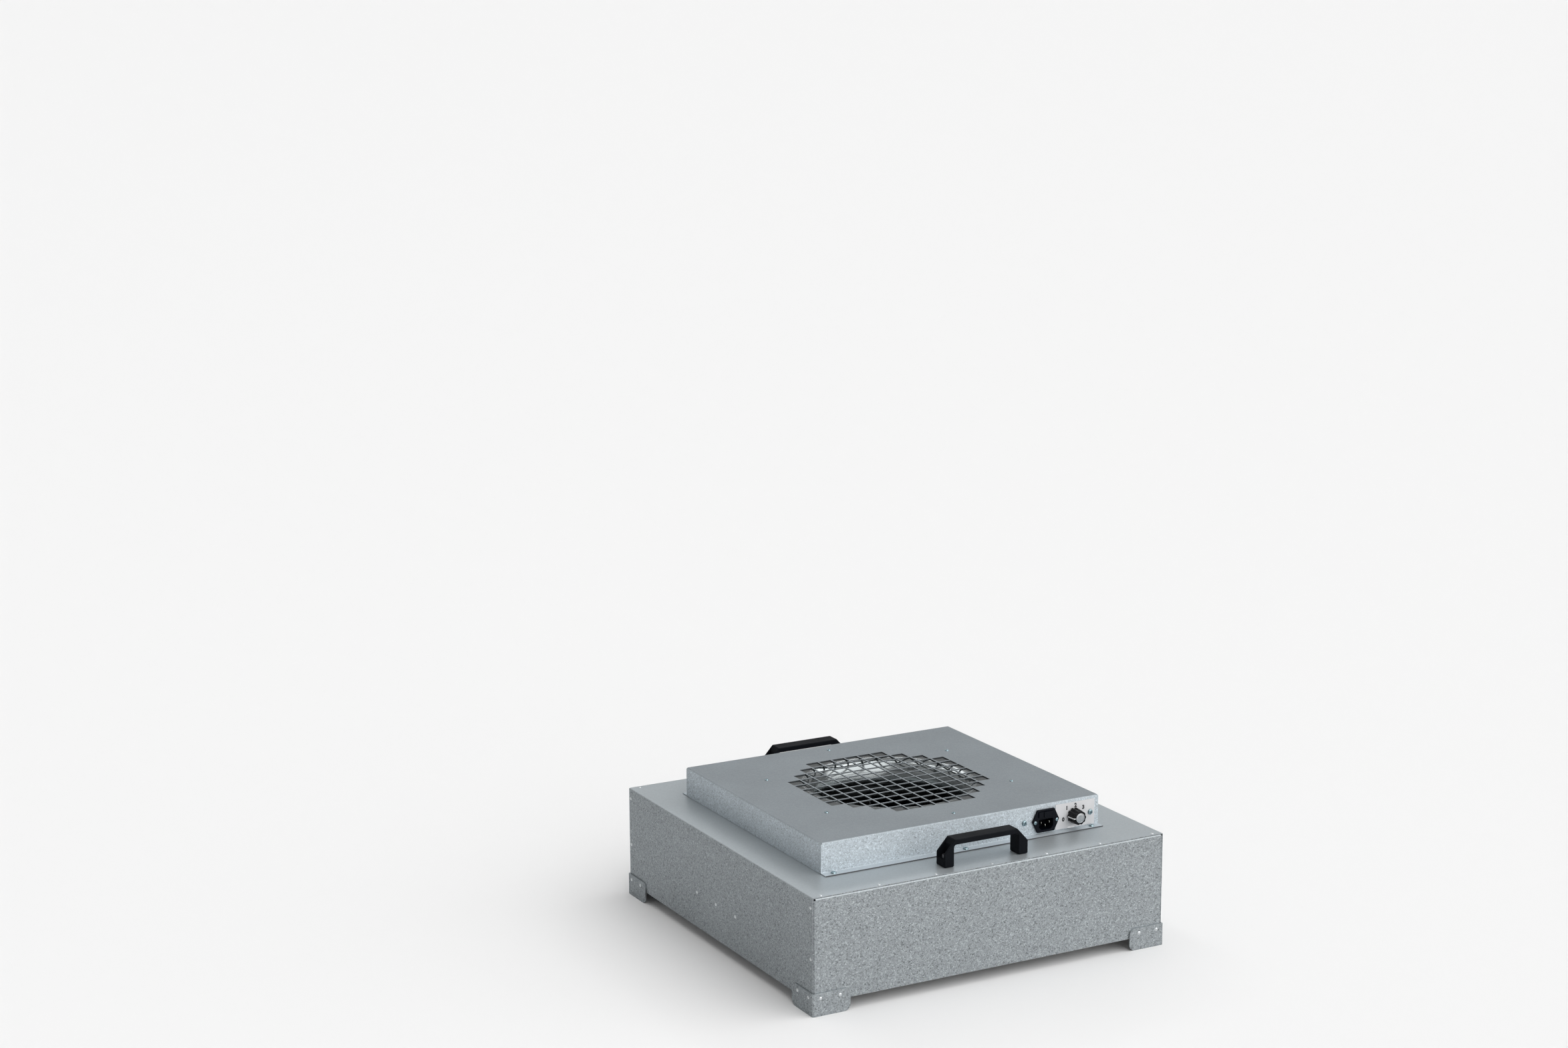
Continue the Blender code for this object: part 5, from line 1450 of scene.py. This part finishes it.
@dataclass(frozen=True)
class Handle:
    """Bridge handle with sloped ends, a pocket in each and the bolt's head in the pocket."""

    leg: float = 0.0155
    shoulder: float = 0.0195
    slope: float = 0.0175
    grip: float = 0.0075
    gap_radius: float = 0.004
    edge: float = 0.0014
    cut_edge: float = 0.0004
    corner_radius: float = 0.002
    pocket_floor: float = 0.011
    pocket_width: float = 0.0165
    pocket_back: float = 0.003
    pocket_radii: Point = (0.0012, 0.001)
    head_radius: float = 0.0042
    head_height: float = 0.005
    head_edge: Point = (0.0006, 0.0002)
    socket_radius: float = 0.0020
    socket_shares: Point = (1.2, 1.1)
    socket_depth: float = 0.0025
    shank: float = 0.0025
    nut_radius: float = 0.0048
    nut_height: float = 0.004
    sheet: float = 0.0012
    bolt_spin: float = 0.4
    steps: int = 48

    def outline(self, half: float, height: float) -> Array:
        """Front view: legs, shoulders, slopes, flat grip and a finger gap with round corners.

        Args:
            half: half the handle's length.
            height: its height.

        Returns:
            The closed outline.
        """
        inner, under = half - self.leg, height - self.grip
        outer = [
            (half, 0),
            (half, self.shoulder, self.corner_radius),
            (half - self.slope, height, self.corner_radius),
        ]
        return rounded(mirrored(outer) + mirrored([(-inner, 0), (-inner, under, self.gap_radius)]))

    def pocket(self, half: float, height: float, side: int) -> Shape:
        """Shape the cutter of one pocket: open to the outer end and to the slope, with floor and back.

        Args:
            half: half the handle's length.
            height: its height.
            side: -1 or 1 for the handle's left or right end.

        Returns:
            The cutter.
        """
        back = half - self.leg + self.pocket_back
        ridge = half - self.slope + self.pocket_back / 2
        corners = [
            (side * 2 * half, self.pocket_floor),
            (side * back, self.pocket_floor, self.pocket_radii[0]),
            (side * back, height - self.grip, self.pocket_radii[1]),
            (side * ridge, height - self.pocket_back / 2),
            (side * ridge, 2 * height),
            (side * 2 * half, 2 * height),
        ]
        return prism(rounded(corners, steps=4), -self.pocket_width / 2, self.pocket_width / 2)

    def bolt(self, seat: float, under: float) -> Shape:
        """Cap screw turned about its axis, its socket and nut six-sided.

        Args:
            seat: height that the head sits on.
            under: height of the underside of the sheet that the nut is pulled against.

        Returns:
            Screw and nut as one closed surface.
        """
        top = seat + self.head_height
        wide, fine = self.head_edge
        mouth, socket = (self.socket_radius * share for share in self.socket_shares)
        rows = [
            (0, under - self.nut_height, 0),
            (self.nut_radius, under - self.nut_height, 1),
            (self.nut_radius, under, 1),
            (self.shank, under, 0),
            (self.shank, seat, 0),
            (self.head_radius, seat, 0),
            (self.head_radius, top - wide, 0),
            (self.head_radius - fine, top - fine, 0),
            (self.head_radius - wide, top, 0),
            (mouth, top, 1),
            (socket, top - fine, 1),
            (socket, top - self.socket_depth, 1),
            (0, top - self.socket_depth, 0),
        ]
        table = np.array(rows)
        swell = np.where(table[:, 2:] > 0, hexagon_swell(self.steps), 1.0)
        return turned(table[:, :2], self.steps, swell=swell)

    def build(self) -> None:
        """Make both handles and the four bolts."""
        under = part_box("housing_wrapper")[1].z - self.sheet - FIT
        number = 0
        for name in ("front", "rear"):
            node = f"handle_{name}"
            low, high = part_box(node)
            half, height, depth = (high.x - low.x) / 2, high.z - low.z, high.y - low.y
            seat = seat_at(((low.x + high.x) / 2, (low.y + high.y) / 2, low.z), Facing.FRONT)
            solid = prism(self.outline(half, height), -depth / 2, depth / 2).placed(seat)
            cuts = tuple(self.pocket(half, height, side).placed(seat) for side in (-1, 1))
            rounding = {"edge": self.cut_edge, "first_edge": self.edge}
            add_piece(f"grip_{name}", solid, [HANDLE_NYLON], stands_for=(node,), cuts=cuts, **rounding)
            bolt = self.bolt(low.z + self.pocket_floor + FIT, under)
            for _ in range(2):
                number += 1
                node = f"handle_bolt_{number}"
                start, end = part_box(node)
                middle = ((start.x + end.x) / 2, (start.y + end.y) / 2, 0)
                shape = bolt.placed(seat_at(middle, Facing.UP, self.bolt_spin * number))
                add_piece(f"cap_screw_{number}", shape, [DARK_STEEL], stands_for=(node,))


@dataclass(frozen=True)
class PowerInlet:
    """Fused power inlet: pointed flange, socket with three pins, and the drawer with its fuse."""

    half_width: float = 0.02275
    half_height: float = 0.017
    half_shoulder: float = 0.0145
    flange: float = 0.003
    body_width: float = 0.0275
    body_height: float = 0.031
    socket_width: float = 0.0242
    socket_height: float = 0.0162
    socket_drop: float = 0.0055
    socket_chamfer: float = 0.0045
    socket_depth: float = 0.017
    drawer_rise: float = 0.0098
    drawer_width: float = 0.0236
    drawer_height: float = 0.008
    drawer_depth: float = 0.0205
    face_width: float = 0.0262
    face_thickness: float = 0.0015
    lip_width: float = 0.010
    lip_thickness: float = 0.0012
    fuse_radius: float = 0.0025
    fuse_length: float = 0.020
    fuse_cap: float = 0.005
    screw_reach: float = 0.0184
    screw_drop: float = 0.001
    screw: CrossScrew = CrossScrew(0.0027, 0.0011, 0.0016, 0.0004, 0.0008)
    tip_radius: float = 0.0025
    corner_radius: float = 0.002
    body_depth: float = 0.026
    back_radius: float = 0.001
    socket_radius: float = 0.0012
    slot_radius: float = 0.0006
    first_edge: float = 0.0009
    edge: float = 0.00025
    drawer_radius: float = 0.0003
    drawer_edge: float = 0.0002
    pin_radius: float = 0.00025
    pin_tip: Point = (0.0003, 0.0012)
    pin_shrink: Point = (0.45, 0.68)
    cap_press: float = 0.0004
    cap_bite: float = 0.8
    tube_wall: float = 0.0005
    wire: float = 0.00015

    def body(self) -> tuple[Shape, Shape]:
        """Shape the moulding about the inlet's middle, growing out of the wall.

        Returns:
            Its pointed flange, and its back.
        """
        across, up, bend = self.half_shoulder, self.half_height, self.corner_radius
        corners = [
            (-self.half_width, 0, self.tip_radius),
            (-across, -up, bend),
            (across, -up, bend),
            (self.half_width, 0, self.tip_radius),
            (across, up, bend),
            (-across, up, bend),
        ]
        back = rounded(rectangle(self.body_width, self.body_height), self.back_radius, FEW_STEPS)
        return prism(rounded(corners), 0, self.flange), prism(back, -self.body_depth, self.flange / 2)

    def hollows(self) -> tuple[Shape, Shape]:
        """Shape the cutters of the socket, with its two lower corners cut off, and the drawer's slot.

        Returns:
            The socket's cutter and the slot's.
        """
        half, high = self.socket_width / 2, self.socket_height / 2 - self.socket_drop
        low, cut = high - self.socket_height, self.socket_chamfer
        left = [(-half, high), (-half, low + cut), (cut - half, low)]
        socket = rounded(mirrored(left), self.socket_radius, 4)
        opening = (self.drawer_width + 2 * FIT, self.drawer_height + 2 * FIT)
        slot = rounded(rectangle(*opening, (0, self.drawer_rise)), self.slot_radius, FEW_STEPS)
        floors = (self.flange - self.socket_depth, self.flange - self.drawer_depth - 2 * FIT)
        return prism(socket, floors[0], 2 * self.flange), prism(slot, floors[1], 2 * self.flange)

    def pin(self, node: str) -> Shape:
        """Flat pin with a tapered tip: a rectangle whose size falls over the last millimetre.

        Args:
            node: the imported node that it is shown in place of.

        Returns:
            The pin as a closed surface.
        """
        low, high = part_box(node)
        middle = ((low.x + high.x) / 2, (low.z + high.z) / 2)
        levels = (low.y, *(low.y + reach for reach in self.pin_tip), high.y)
        outline = rounded(rectangle(high.x - low.x, high.z - low.z), self.pin_radius, 2)
        count = len(outline)
        flat = [outline * share + middle for share in (*self.pin_shrink, 1.0, 1.0)]
        rings = [np.column_stack((p[:, 0], np.full(count, y), p[:, 1])) for p, y in zip(flat, levels)]
        ends = np.arange(count)[None, :]
        return Shape(np.vstack(rings), [quads(len(rings), count, False, True), ends, ends + 3 * count])

    def drawer(self) -> tuple[Shape, Shape]:
        """Shape the drawer, seen from above, and the trough that its fuse lies in.

        Returns:
            The drawer, and the cutter of the trough.
        """
        half, face, lip = self.drawer_width / 2, self.face_width / 2, self.lip_width / 2
        front = -self.face_thickness
        left = [
            (-half, self.drawer_depth),
            (-half, 0),
            (-face, 0),
            (-face, front),
            (-lip, front),
            (-lip, front - self.lip_thickness),
        ]
        outline = rounded(mirrored(left), self.drawer_radius, 2)
        middle, reach = self.drawer_depth / 2, self.fuse_radius + 2 * FIT
        bed = arc((0.0, 0.0), reach, math.pi, math.pi, 12)
        trough = np.vstack((((reach, self.drawer_height), (-reach, self.drawer_height)), bed))
        length = self.fuse_length / 2 + FIT
        cutter = prism(trough, -length, length).placed(seat_at((0, middle, 0), Facing.RIGHT))
        return prism(outline, -self.drawer_height / 2, self.drawer_height / 2), cutter

    def fuse(self) -> Shape:
        """Turn a glass tube between two pressed caps about its own length.

        Returns:
            Caps and wire in the first finish and the tube in the second.
        """
        radius, end, press, wire = self.fuse_radius, self.fuse_length, self.cap_press, self.wire
        cap = radius + press / 2
        ends = []
        for start, way in ((0.0, 1.0), (end, -1.0)):
            round_end, rim = start + way * press, start + way * self.fuse_cap
            rows = ((0, start), (cap - press, start), (cap, round_end), (cap, rim), (0, rim))
            ends.append(turned(np.array(rows), ROUND_STEPS))
        inside = self.fuse_cap * self.cap_bite
        bore, far = radius - self.tube_wall, end - inside
        tube = np.array(((radius, inside), (radius, far), (bore, far), (bore, inside)))
        thread = np.array(((0, inside), (wire, inside), (wire, far), (0, far)))
        glass = turned(tube, ROUND_STEPS, closed=True).finished(1)
        return join([*ends, turned(thread, ROUND_STEPS // 4), glass])

    def build(self) -> None:
        """Make the moulding, pins, drawer, fuse and the two screws."""
        low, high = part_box("inlet_body")
        middle_x, middle_z = (low.x + high.x) / 2, (low.z + high.z) / 2
        seat = seat_at((middle_x, low.y + self.flange, middle_z), Facing.FRONT)
        front, back = (part.placed(seat) for part in self.body())
        tools = {"joins": (back,), "cuts": tuple(tool.placed(seat) for tool in self.hollows())}
        rounding = {"edge": self.edge, "first_edge": self.first_edge}
        add_piece("inlet_moulding", front, [INLET_PLASTIC], stands_for=("inlet_body",), **tools, **rounding)
        for name in ("live", "neutral", "earth"):
            node = f"inlet_pin_{name}"
            add_piece(f"pin_{name}", self.pin(node), [BRASS], stands_for=(node,))
        start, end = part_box("fuse_drawer")
        level = (start.z + end.z) / 2
        seat = seat_at((middle_x, end.y - self.drawer_depth, level))
        solid, trough = (part.placed(seat) for part in self.drawer())
        holder = (Body.DRAWER, ("fuse_drawer",), self.drawer_edge, (trough,))
        add_piece("fuse_holder", solid, [INLET_PLASTIC], *holder)
        centre = (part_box("fuse")[0].x, end.y - self.drawer_depth / 2, level)
        fuse = self.fuse().placed(seat_at(centre, Facing.RIGHT))
        add_piece("glass_fuse", fuse, [TURNED_STEEL, FUSE_GLASS], Body.DRAWER, ("fuse",))
        seats = []
        for side in (-1, 1):
            spot = (middle_x + side * self.screw_reach, low.y, middle_z - self.screw_drop)
            seats.append(seat_at(spot, Facing.FRONT, 0.5 + side))
        add_piece("inlet_screws", self.screw.shape().copies(seats), [ZINC_SCREW])


@dataclass(frozen=True)
class SpeedControl:
    """Speed knob with its bright cap and pointer, and the plate behind it with plain numbers."""

    radius: float = 0.0118
    top_radius: float = 0.0106
    height: float = 0.0165
    flutes: int = 10
    flute_depth: float = 0.0017
    flute_power: float = 1.5
    edge: float = 0.0012
    skirt: float = 0.0004
    end_flute: float = 0.3
    recess_radius: float = 0.0088
    recess_depth: float = 0.005
    bore: float = 0.0033
    bore_depth: float = 0.0132
    cap_radius: float = 0.0073
    cap_seat: float = 0.0156
    cap_thickness: float = 0.0012
    cap_rim: tuple[Point, ...] = (
        (0.0, 0.0005),
        (0.00015, 0.00015),
        (0.0005, 0.0),
        (0.0011, 0.0),
        (0.0013, 0.00025),
        (0.0016, 0.0001),
    )
    cap_dish: Point = (0.0002, 0.00025)
    pointer_width: float = 0.0014
    pointer_start: float = 0.002
    pointer_lift: Point = (0.00012, -0.0004)
    steps: int = 160
    rim_steps: int = 6
    flank_steps: int = 8
    pointer_steps: int = 5
    number_size: float = 0.0078
    number_weight: float = 0.0005
    number_places: tuple[tuple[str, float, float], ...] = (
        ("0", 0.1691, 0.1843),
        ("1", 0.1750, 0.2006),
        ("2", 0.1901, 0.2028),
        ("3", 0.2036, 0.1978),
    )
    oval_place: tuple[float, float] = (0.1826, 0.1715)
    oval_size: tuple[float, float] = (0.013, 0.003)
    ink: float = 0.00004

    def flute_swell(self, weight: Array) -> Array:
        """Factor on the radius: 1 - depth / radius ((1 - cos(n a)) / 2)^p, with a ridge at the pointer.

        Args:
            weight: how much of the flute each row of the profile takes.

        Returns:
            Rows x steps of factors.
        """
        angles = np.arange(self.steps) * math.tau / self.steps
        hollow = ((1 - np.cos(self.flutes * angles)) / 2) ** self.flute_power
        return 1 - weight[:, None] * hollow * self.flute_depth / self.radius

    def rim(self) -> Array:
        """Return the rounded edge between flank and front, as points (r, z)."""
        reach, level = self.top_radius - self.edge, self.height - self.edge
        return arc((reach, level), self.edge, 0, math.pi / 2, self.rim_steps)

    def knob(self) -> Shape:
        """Turn rows (r, z, share of the flutes): hollow back, narrowing flank, rounded edge, cap seat.

        Returns:
            The scalloped knob as a closed surface.
        """
        foot = np.array((self.radius, self.skirt, 1.0))
        brow = np.array((self.top_radius, self.height - self.edge, 1.0))
        back = [
            (0, self.bore_depth, 0),
            (self.bore, self.bore_depth, 0),
            (self.bore, self.recess_depth, 0),
            (self.recess_radius, self.recess_depth, 0),
            (self.recess_radius, 0, 0),
            (self.radius - self.skirt, 0, 1),
        ]
        flank = foot + (brow - foot) * np.linspace(0, 1, self.flank_steps)[:-1, None]
        rim = self.rim()
        edge = np.column_stack((rim, np.linspace(1, self.end_flute, len(rim))))
        seat = self.cap_radius + FIT
        front = [(seat, self.height, 0), (seat, self.cap_seat, 0), (0, self.cap_seat, 0)]
        rows = np.vstack((back, flank, edge, front))
        return turned(rows[:, :2], self.steps, swell=self.flute_swell(rows[:, 2]))

    def pointer(self) -> Shape:
        """Lay a white line on the ridge: from the skirt up the flank and over the edge to the cap.

        Returns:
            A strip from a little over the knob's surface to a little under it.
        """
        start = (self.radius - self.skirt / 4, self.pointer_start)
        path = np.vstack((start, self.rim(), (self.cap_radius + 3 * FIT, self.height)))
        across = np.linspace(-0.5, 0.5, self.pointer_steps) * self.pointer_width
        sides = []
        for lift in self.pointer_lift:
            line = path - left_of(path) * lift
            grid = np.broadcast_arrays(-line[:, :1], across, line[:, 1:])
            sides.append(np.stack(grid, axis=-1))
        return slab(sides[0], sides[1])

    def cap(self) -> Shape:
        """Turn a disc with a rounded rim, a groove inside it and a shallow dish.

        Returns:
            The disc as a closed surface.
        """
        low = self.cap_seat + FIT
        top, radius = low + self.cap_thickness, self.cap_radius
        rim = [(radius - reach, top - fall) for reach, fall in self.cap_rim]
        dish = [(radius * 0.5, top - self.cap_dish[0]), (0, top - self.cap_dish[1])]
        return turned(np.array([(0, low), (radius, low), *rim, *dish]), FINE_STEPS)

    def print_number(self, text: str, x: float, z: float, face: float) -> None:
        """Print one number on the plate, as a thin mesh.

        Args:
            text: the digit.
            x: middle of the digit.
            z: middle of the digit.
            face: the plate's front face.
        """
        curve = bpy.data.curves.new(f"number_{text}", "FONT")
        curve.body = text
        curve.size = self.number_size
        curve.align_x = "CENTER"
        curve.align_y = "CENTER"
        curve.extrude = self.ink
        curve.offset = self.number_weight
        written = link_piece(f"written_{text}", curve)
        bpy.context.view_layer.update()
        graph = bpy.context.evaluated_depsgraph_get()
        mesh = bpy.data.meshes.new_from_object(written.evaluated_get(graph))
        bpy.data.objects.remove(written)
        mesh.transform(Matrix(seat_at((x, face, z), Facing.FRONT)))
        mesh.materials.clear()
        mesh.materials.append(BLACK_INK.material())
        enter(link_piece(f"number_{text}", mesh), Body.HOUSING)

    def build(self) -> None:
        """Make the knob, its cap and pointer, dress the plate and print the numbers."""
        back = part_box("speed_knob")[1].y
        low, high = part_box("knob_cap")
        seat = seat_at(((low.x + high.x) / 2, back, (low.z + high.z) / 2), Facing.FRONT)
        cap_finish = replace(KNOB_CAP, centre=tuple(seat[:3, 3].tolist()))
        add_piece("fluted_knob", self.knob().placed(seat), [KNOB_PLASTIC], Body.KNOB, ("speed_knob",))
        add_piece("knob_pointer", self.pointer().placed(seat), [WHITE_INK], Body.KNOB)
        add_piece("bright_cap", self.cap().placed(seat), [cap_finish], Body.KNOB, ("knob_cap",))
        dress(TURNED_STEEL, "switch_nut", "switch_spindle")
        dress(SWITCH_PLASTIC, "switch_body")
        dress(LABEL_FILM, "label_plate")
        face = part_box("label_plate")[0].y
        for text, x, z in self.number_places:
            self.print_number(text, x, z, face)
        oval = circle(ROUND_STEPS) * np.array(self.oval_size) / 2
        seat = seat_at((self.oval_place[0], face, self.oval_place[1]), Facing.FRONT)
        add_piece("blank_oval", prism(oval, -self.ink, self.ink).placed(seat), [WHITE_INK])


@dataclass(frozen=True)
class FilterPack:
    """Filter under the fan: frame rails, gasket and guard as packed, and the pleated paper."""

    pleats: int = 140
    steps_each: int = 12
    sharpness: float = 0.985
    paper_drop: float = 0.005
    beads: int = 11
    bead_radius: float = 0.0011
    bead_inset: float = 0.001

    def paper(self) -> Shape:
        """Paper P(x, y): z swings between its limits as arcsin(k sin(n y)) / arcsin(k).

        Returns:
            The folded sheet, whose underside is the same swing a little lower.
        """
        low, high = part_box("filter_pleats")
        rows = np.linspace(0, 1, self.pleats * self.steps_each + 1)[:, None]
        swing = np.arcsin(self.sharpness * np.sin(math.tau * self.pleats * rows - math.pi / 2))
        swing = (swing / math.asin(self.sharpness) + 1) / 2
        y = low.y + (high.y - low.y) * rows
        x = np.linspace(low.x, high.x, 3)[None, :]
        z = low.z + self.paper_drop + (high.z - low.z - self.paper_drop) * swing
        top = np.stack(np.broadcast_arrays(x, y, z), axis=-1)
        under = top.copy()
        under[..., 2] -= self.paper_drop
        return slab(top, under)

    def glue(self) -> Shape:
        """Threads of glue along Y that keep the folds apart, at their lower and upper tips.

        Returns:
            All the threads, each a closed surface.
        """
        low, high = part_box("filter_pleats")
        outline = circle(ROUND_STEPS // 4) * self.bead_radius
        threads = prism(outline, low.y + self.bead_inset, high.y - self.bead_inset)
        levels = (low.z + 2 * self.bead_radius, high.z - 2 * self.bead_radius)
        spread = np.linspace(low.x, high.x, self.beads + 2)[1:-1]
        return threads.copies([seat_at((x, 0, z), Facing.REAR) for x in spread for z in levels])

    def build(self) -> None:
        """Make the paper and the glue, and dress the rest of the filter."""
        add_piece("pleated_paper", self.paper(), [FILTER_PAPER], stands_for=("filter_pleats",))
        add_piece("glue_threads", self.glue(), [GLUE_BEAD])
        dress(RAIL_ALUMINIUM, *(f"filter_rail_{side}" for side in SIDES))
        dress(HOUSING_SHEET, *(f"filter_ledge_{side}" for side in SIDES))
        dress(WHITE_PAINT, "filter_guard")
        dress(GASKET_FOAM, "filter_gasket")


class InnerWorks:
    """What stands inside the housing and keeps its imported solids: motor, channel, capacitor, box."""

    def build(self) -> None:
        """Dress each of the inner pieces."""
        dress(HOUSING_SHEET, "motor_bracket", "electrics_box")
        dress(BARE_CAST, "motor_base")
        dress(COPPER_WIRE, "stator_core")
        dress(TURNED_STEEL, "bearing_lower", "bearing_upper", "capacitor_clip")
        dress(WHITE_PAINT, "run_capacitor")


def aimed(right: Array, up: Array, out: Array, place: Place = (0.0, 0.0, 0.0)) -> Matrix:
    """Matrix that turns and places a lamp or a camera.

    Args:
        right: direction of its X axis.
        up: direction of its Y axis.
        out: direction of its Z axis, away from what it points at.
        place: where it stands.

    Returns:
        A 4 x 4 matrix.
    """
    axes = np.eye(4)
    axes[:3] = np.column_stack((right, up, out, place))
    return Matrix(axes)


@dataclass(frozen=True)
class Studio:
    """Plain pale floor, soft light and the camera at the photograph's angle."""

    floor_size: float = 300.0
    horizon: float = 0.31
    zenith: float = 0.5
    ring_level: float = 3.6
    ring_elevation: float = math.radians(62)
    ring_reach: tuple[float, float] = (math.radians(35), math.radians(29))
    key: tuple[float, float, float, float] = (2.75, math.radians(32), math.radians(34), math.radians(96))
    camera_place: Place = (-2.0186, -3.4071, 1.4272)
    camera_yaw: float = 0.4963
    camera_pitch: float = -0.2062
    camera_roll: float = -0.0044
    lens: float = 64.29
    sensor: float = 36.0

    def light_world(self) -> None:
        """Soft light from all round, brighter overhead, with a soft ring light behind and above.

        The ring light is where the cosine of the angle to its middle lies between those of its outer
        and inner edge; it swells and fades over the whole of its width.
        """
        world = bpy.data.worlds.new("studio")
        world.use_nodes = True
        graph = Graph(world.node_tree)
        way = graph.add("ShaderNodeTexCoord", {}).outputs["Generated"]
        level = graph.remap(graph.channel(way, 2), self.horizon, self.zenith)
        bearing, rise = self.camera_yaw, self.ring_elevation
        middle = (math.sin(bearing) * math.cos(rise), math.cos(bearing) * math.cos(rise), math.sin(rise))
        outer, inner = (math.cos(reach) for reach in self.ring_reach)
        centre, half = (outer + inner) / 2, (inner - outer) / 2
        off = graph.maths("ABSOLUTE", graph.maths("SUBTRACT", graph.dot(way, middle), centre))
        glow = graph.remap(off, 1.0, 0.0, (0.5 * half, half))
        strength = graph.maths("MULTIPLY_ADD", glow, self.ring_level, level)
        sky = world.node_tree.nodes["Background"]
        graph.feed(sky.inputs["Color"], (1.0, 1.0, 1.0, 1.0))
        graph.feed(sky.inputs["Strength"], strength)
        bpy.context.scene.world = world

    def light_key(self) -> None:
        """Add the key lamp: far and broad, at an angle from the front and at a height."""
        power, azimuth, elevation, spread = self.key
        light = bpy.data.lights.new("key", "SUN")
        light.energy = power
        light.angle = spread
        level = math.cos(elevation)
        out = (math.sin(azimuth) * level, -math.cos(azimuth) * level, math.sin(elevation))
        across = np.cross((0.0, 0.0, 1.0), out)
        across /= np.linalg.norm(across)
        link_piece("key", light).matrix_world = aimed(across, np.cross(out, across), out)

    def lay_floor(self) -> None:
        """Large flat floor under the feet."""
        half = self.floor_size / 2
        corners = [(-half, -half, 0), (half, -half, 0), (half, half, 0), (-half, half, 0)]
        mesh = bpy.data.meshes.new("floor")
        mesh.from_pydata(corners, [], [(0, 1, 2, 3)])
        mesh.materials.append(FLOOR_FINISH.material())
        link_piece("floor", mesh)

    def set_camera(self) -> None:
        """Camera with its yaw about Z, then its pitch and its roll, as measured from the photograph."""
        camera = bpy.data.cameras.new("camera")
        camera.lens = self.lens
        camera.sensor_width = self.sensor
        camera.sensor_fit = "HORIZONTAL"
        yaw, pitch, roll = self.camera_yaw, self.camera_pitch, self.camera_roll
        ahead = np.array((math.sin(yaw) * math.cos(pitch), math.cos(yaw) * math.cos(pitch), math.sin(pitch)))
        right = np.array((math.cos(yaw), -math.sin(yaw), 0.0))
        up = np.cross(right, ahead)
        level = right * math.cos(roll) + up * math.sin(roll)
        upright = up * math.cos(roll) - right * math.sin(roll)
        holder = link_piece("camera", camera)
        holder.matrix_world = aimed(level, upright, -ahead, self.camera_place)
        bpy.context.scene.camera = holder

    def build(self) -> None:
        """Set light, floor, camera and the plain view transform."""
        self.light_world()
        self.light_key()
        self.lay_floor()
        self.set_camera()
        bpy.context.scene.view_settings.view_transform = "Standard"


def corners(box: tuple) -> list[list[float]]:
    """Both corners of a box as plain lists."""
    return [list(corner) for corner in box]


def main() -> None:
    """Build the unit's looks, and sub-assembly by sub-assembly."""
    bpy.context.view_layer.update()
    for part in (
        Studio(),
        Housing(),
        CornerBracket(),
        IntakeCover(),
        AirPath(),
        Rotor(),
        Handle(),
        PowerInlet(),
        SpeedControl(),
        FilterPack(),
        InnerWorks(),
    ):
        LOG.info("%s", type(part).__name__)
        part.build()


if __name__ == "__main__":
    main()
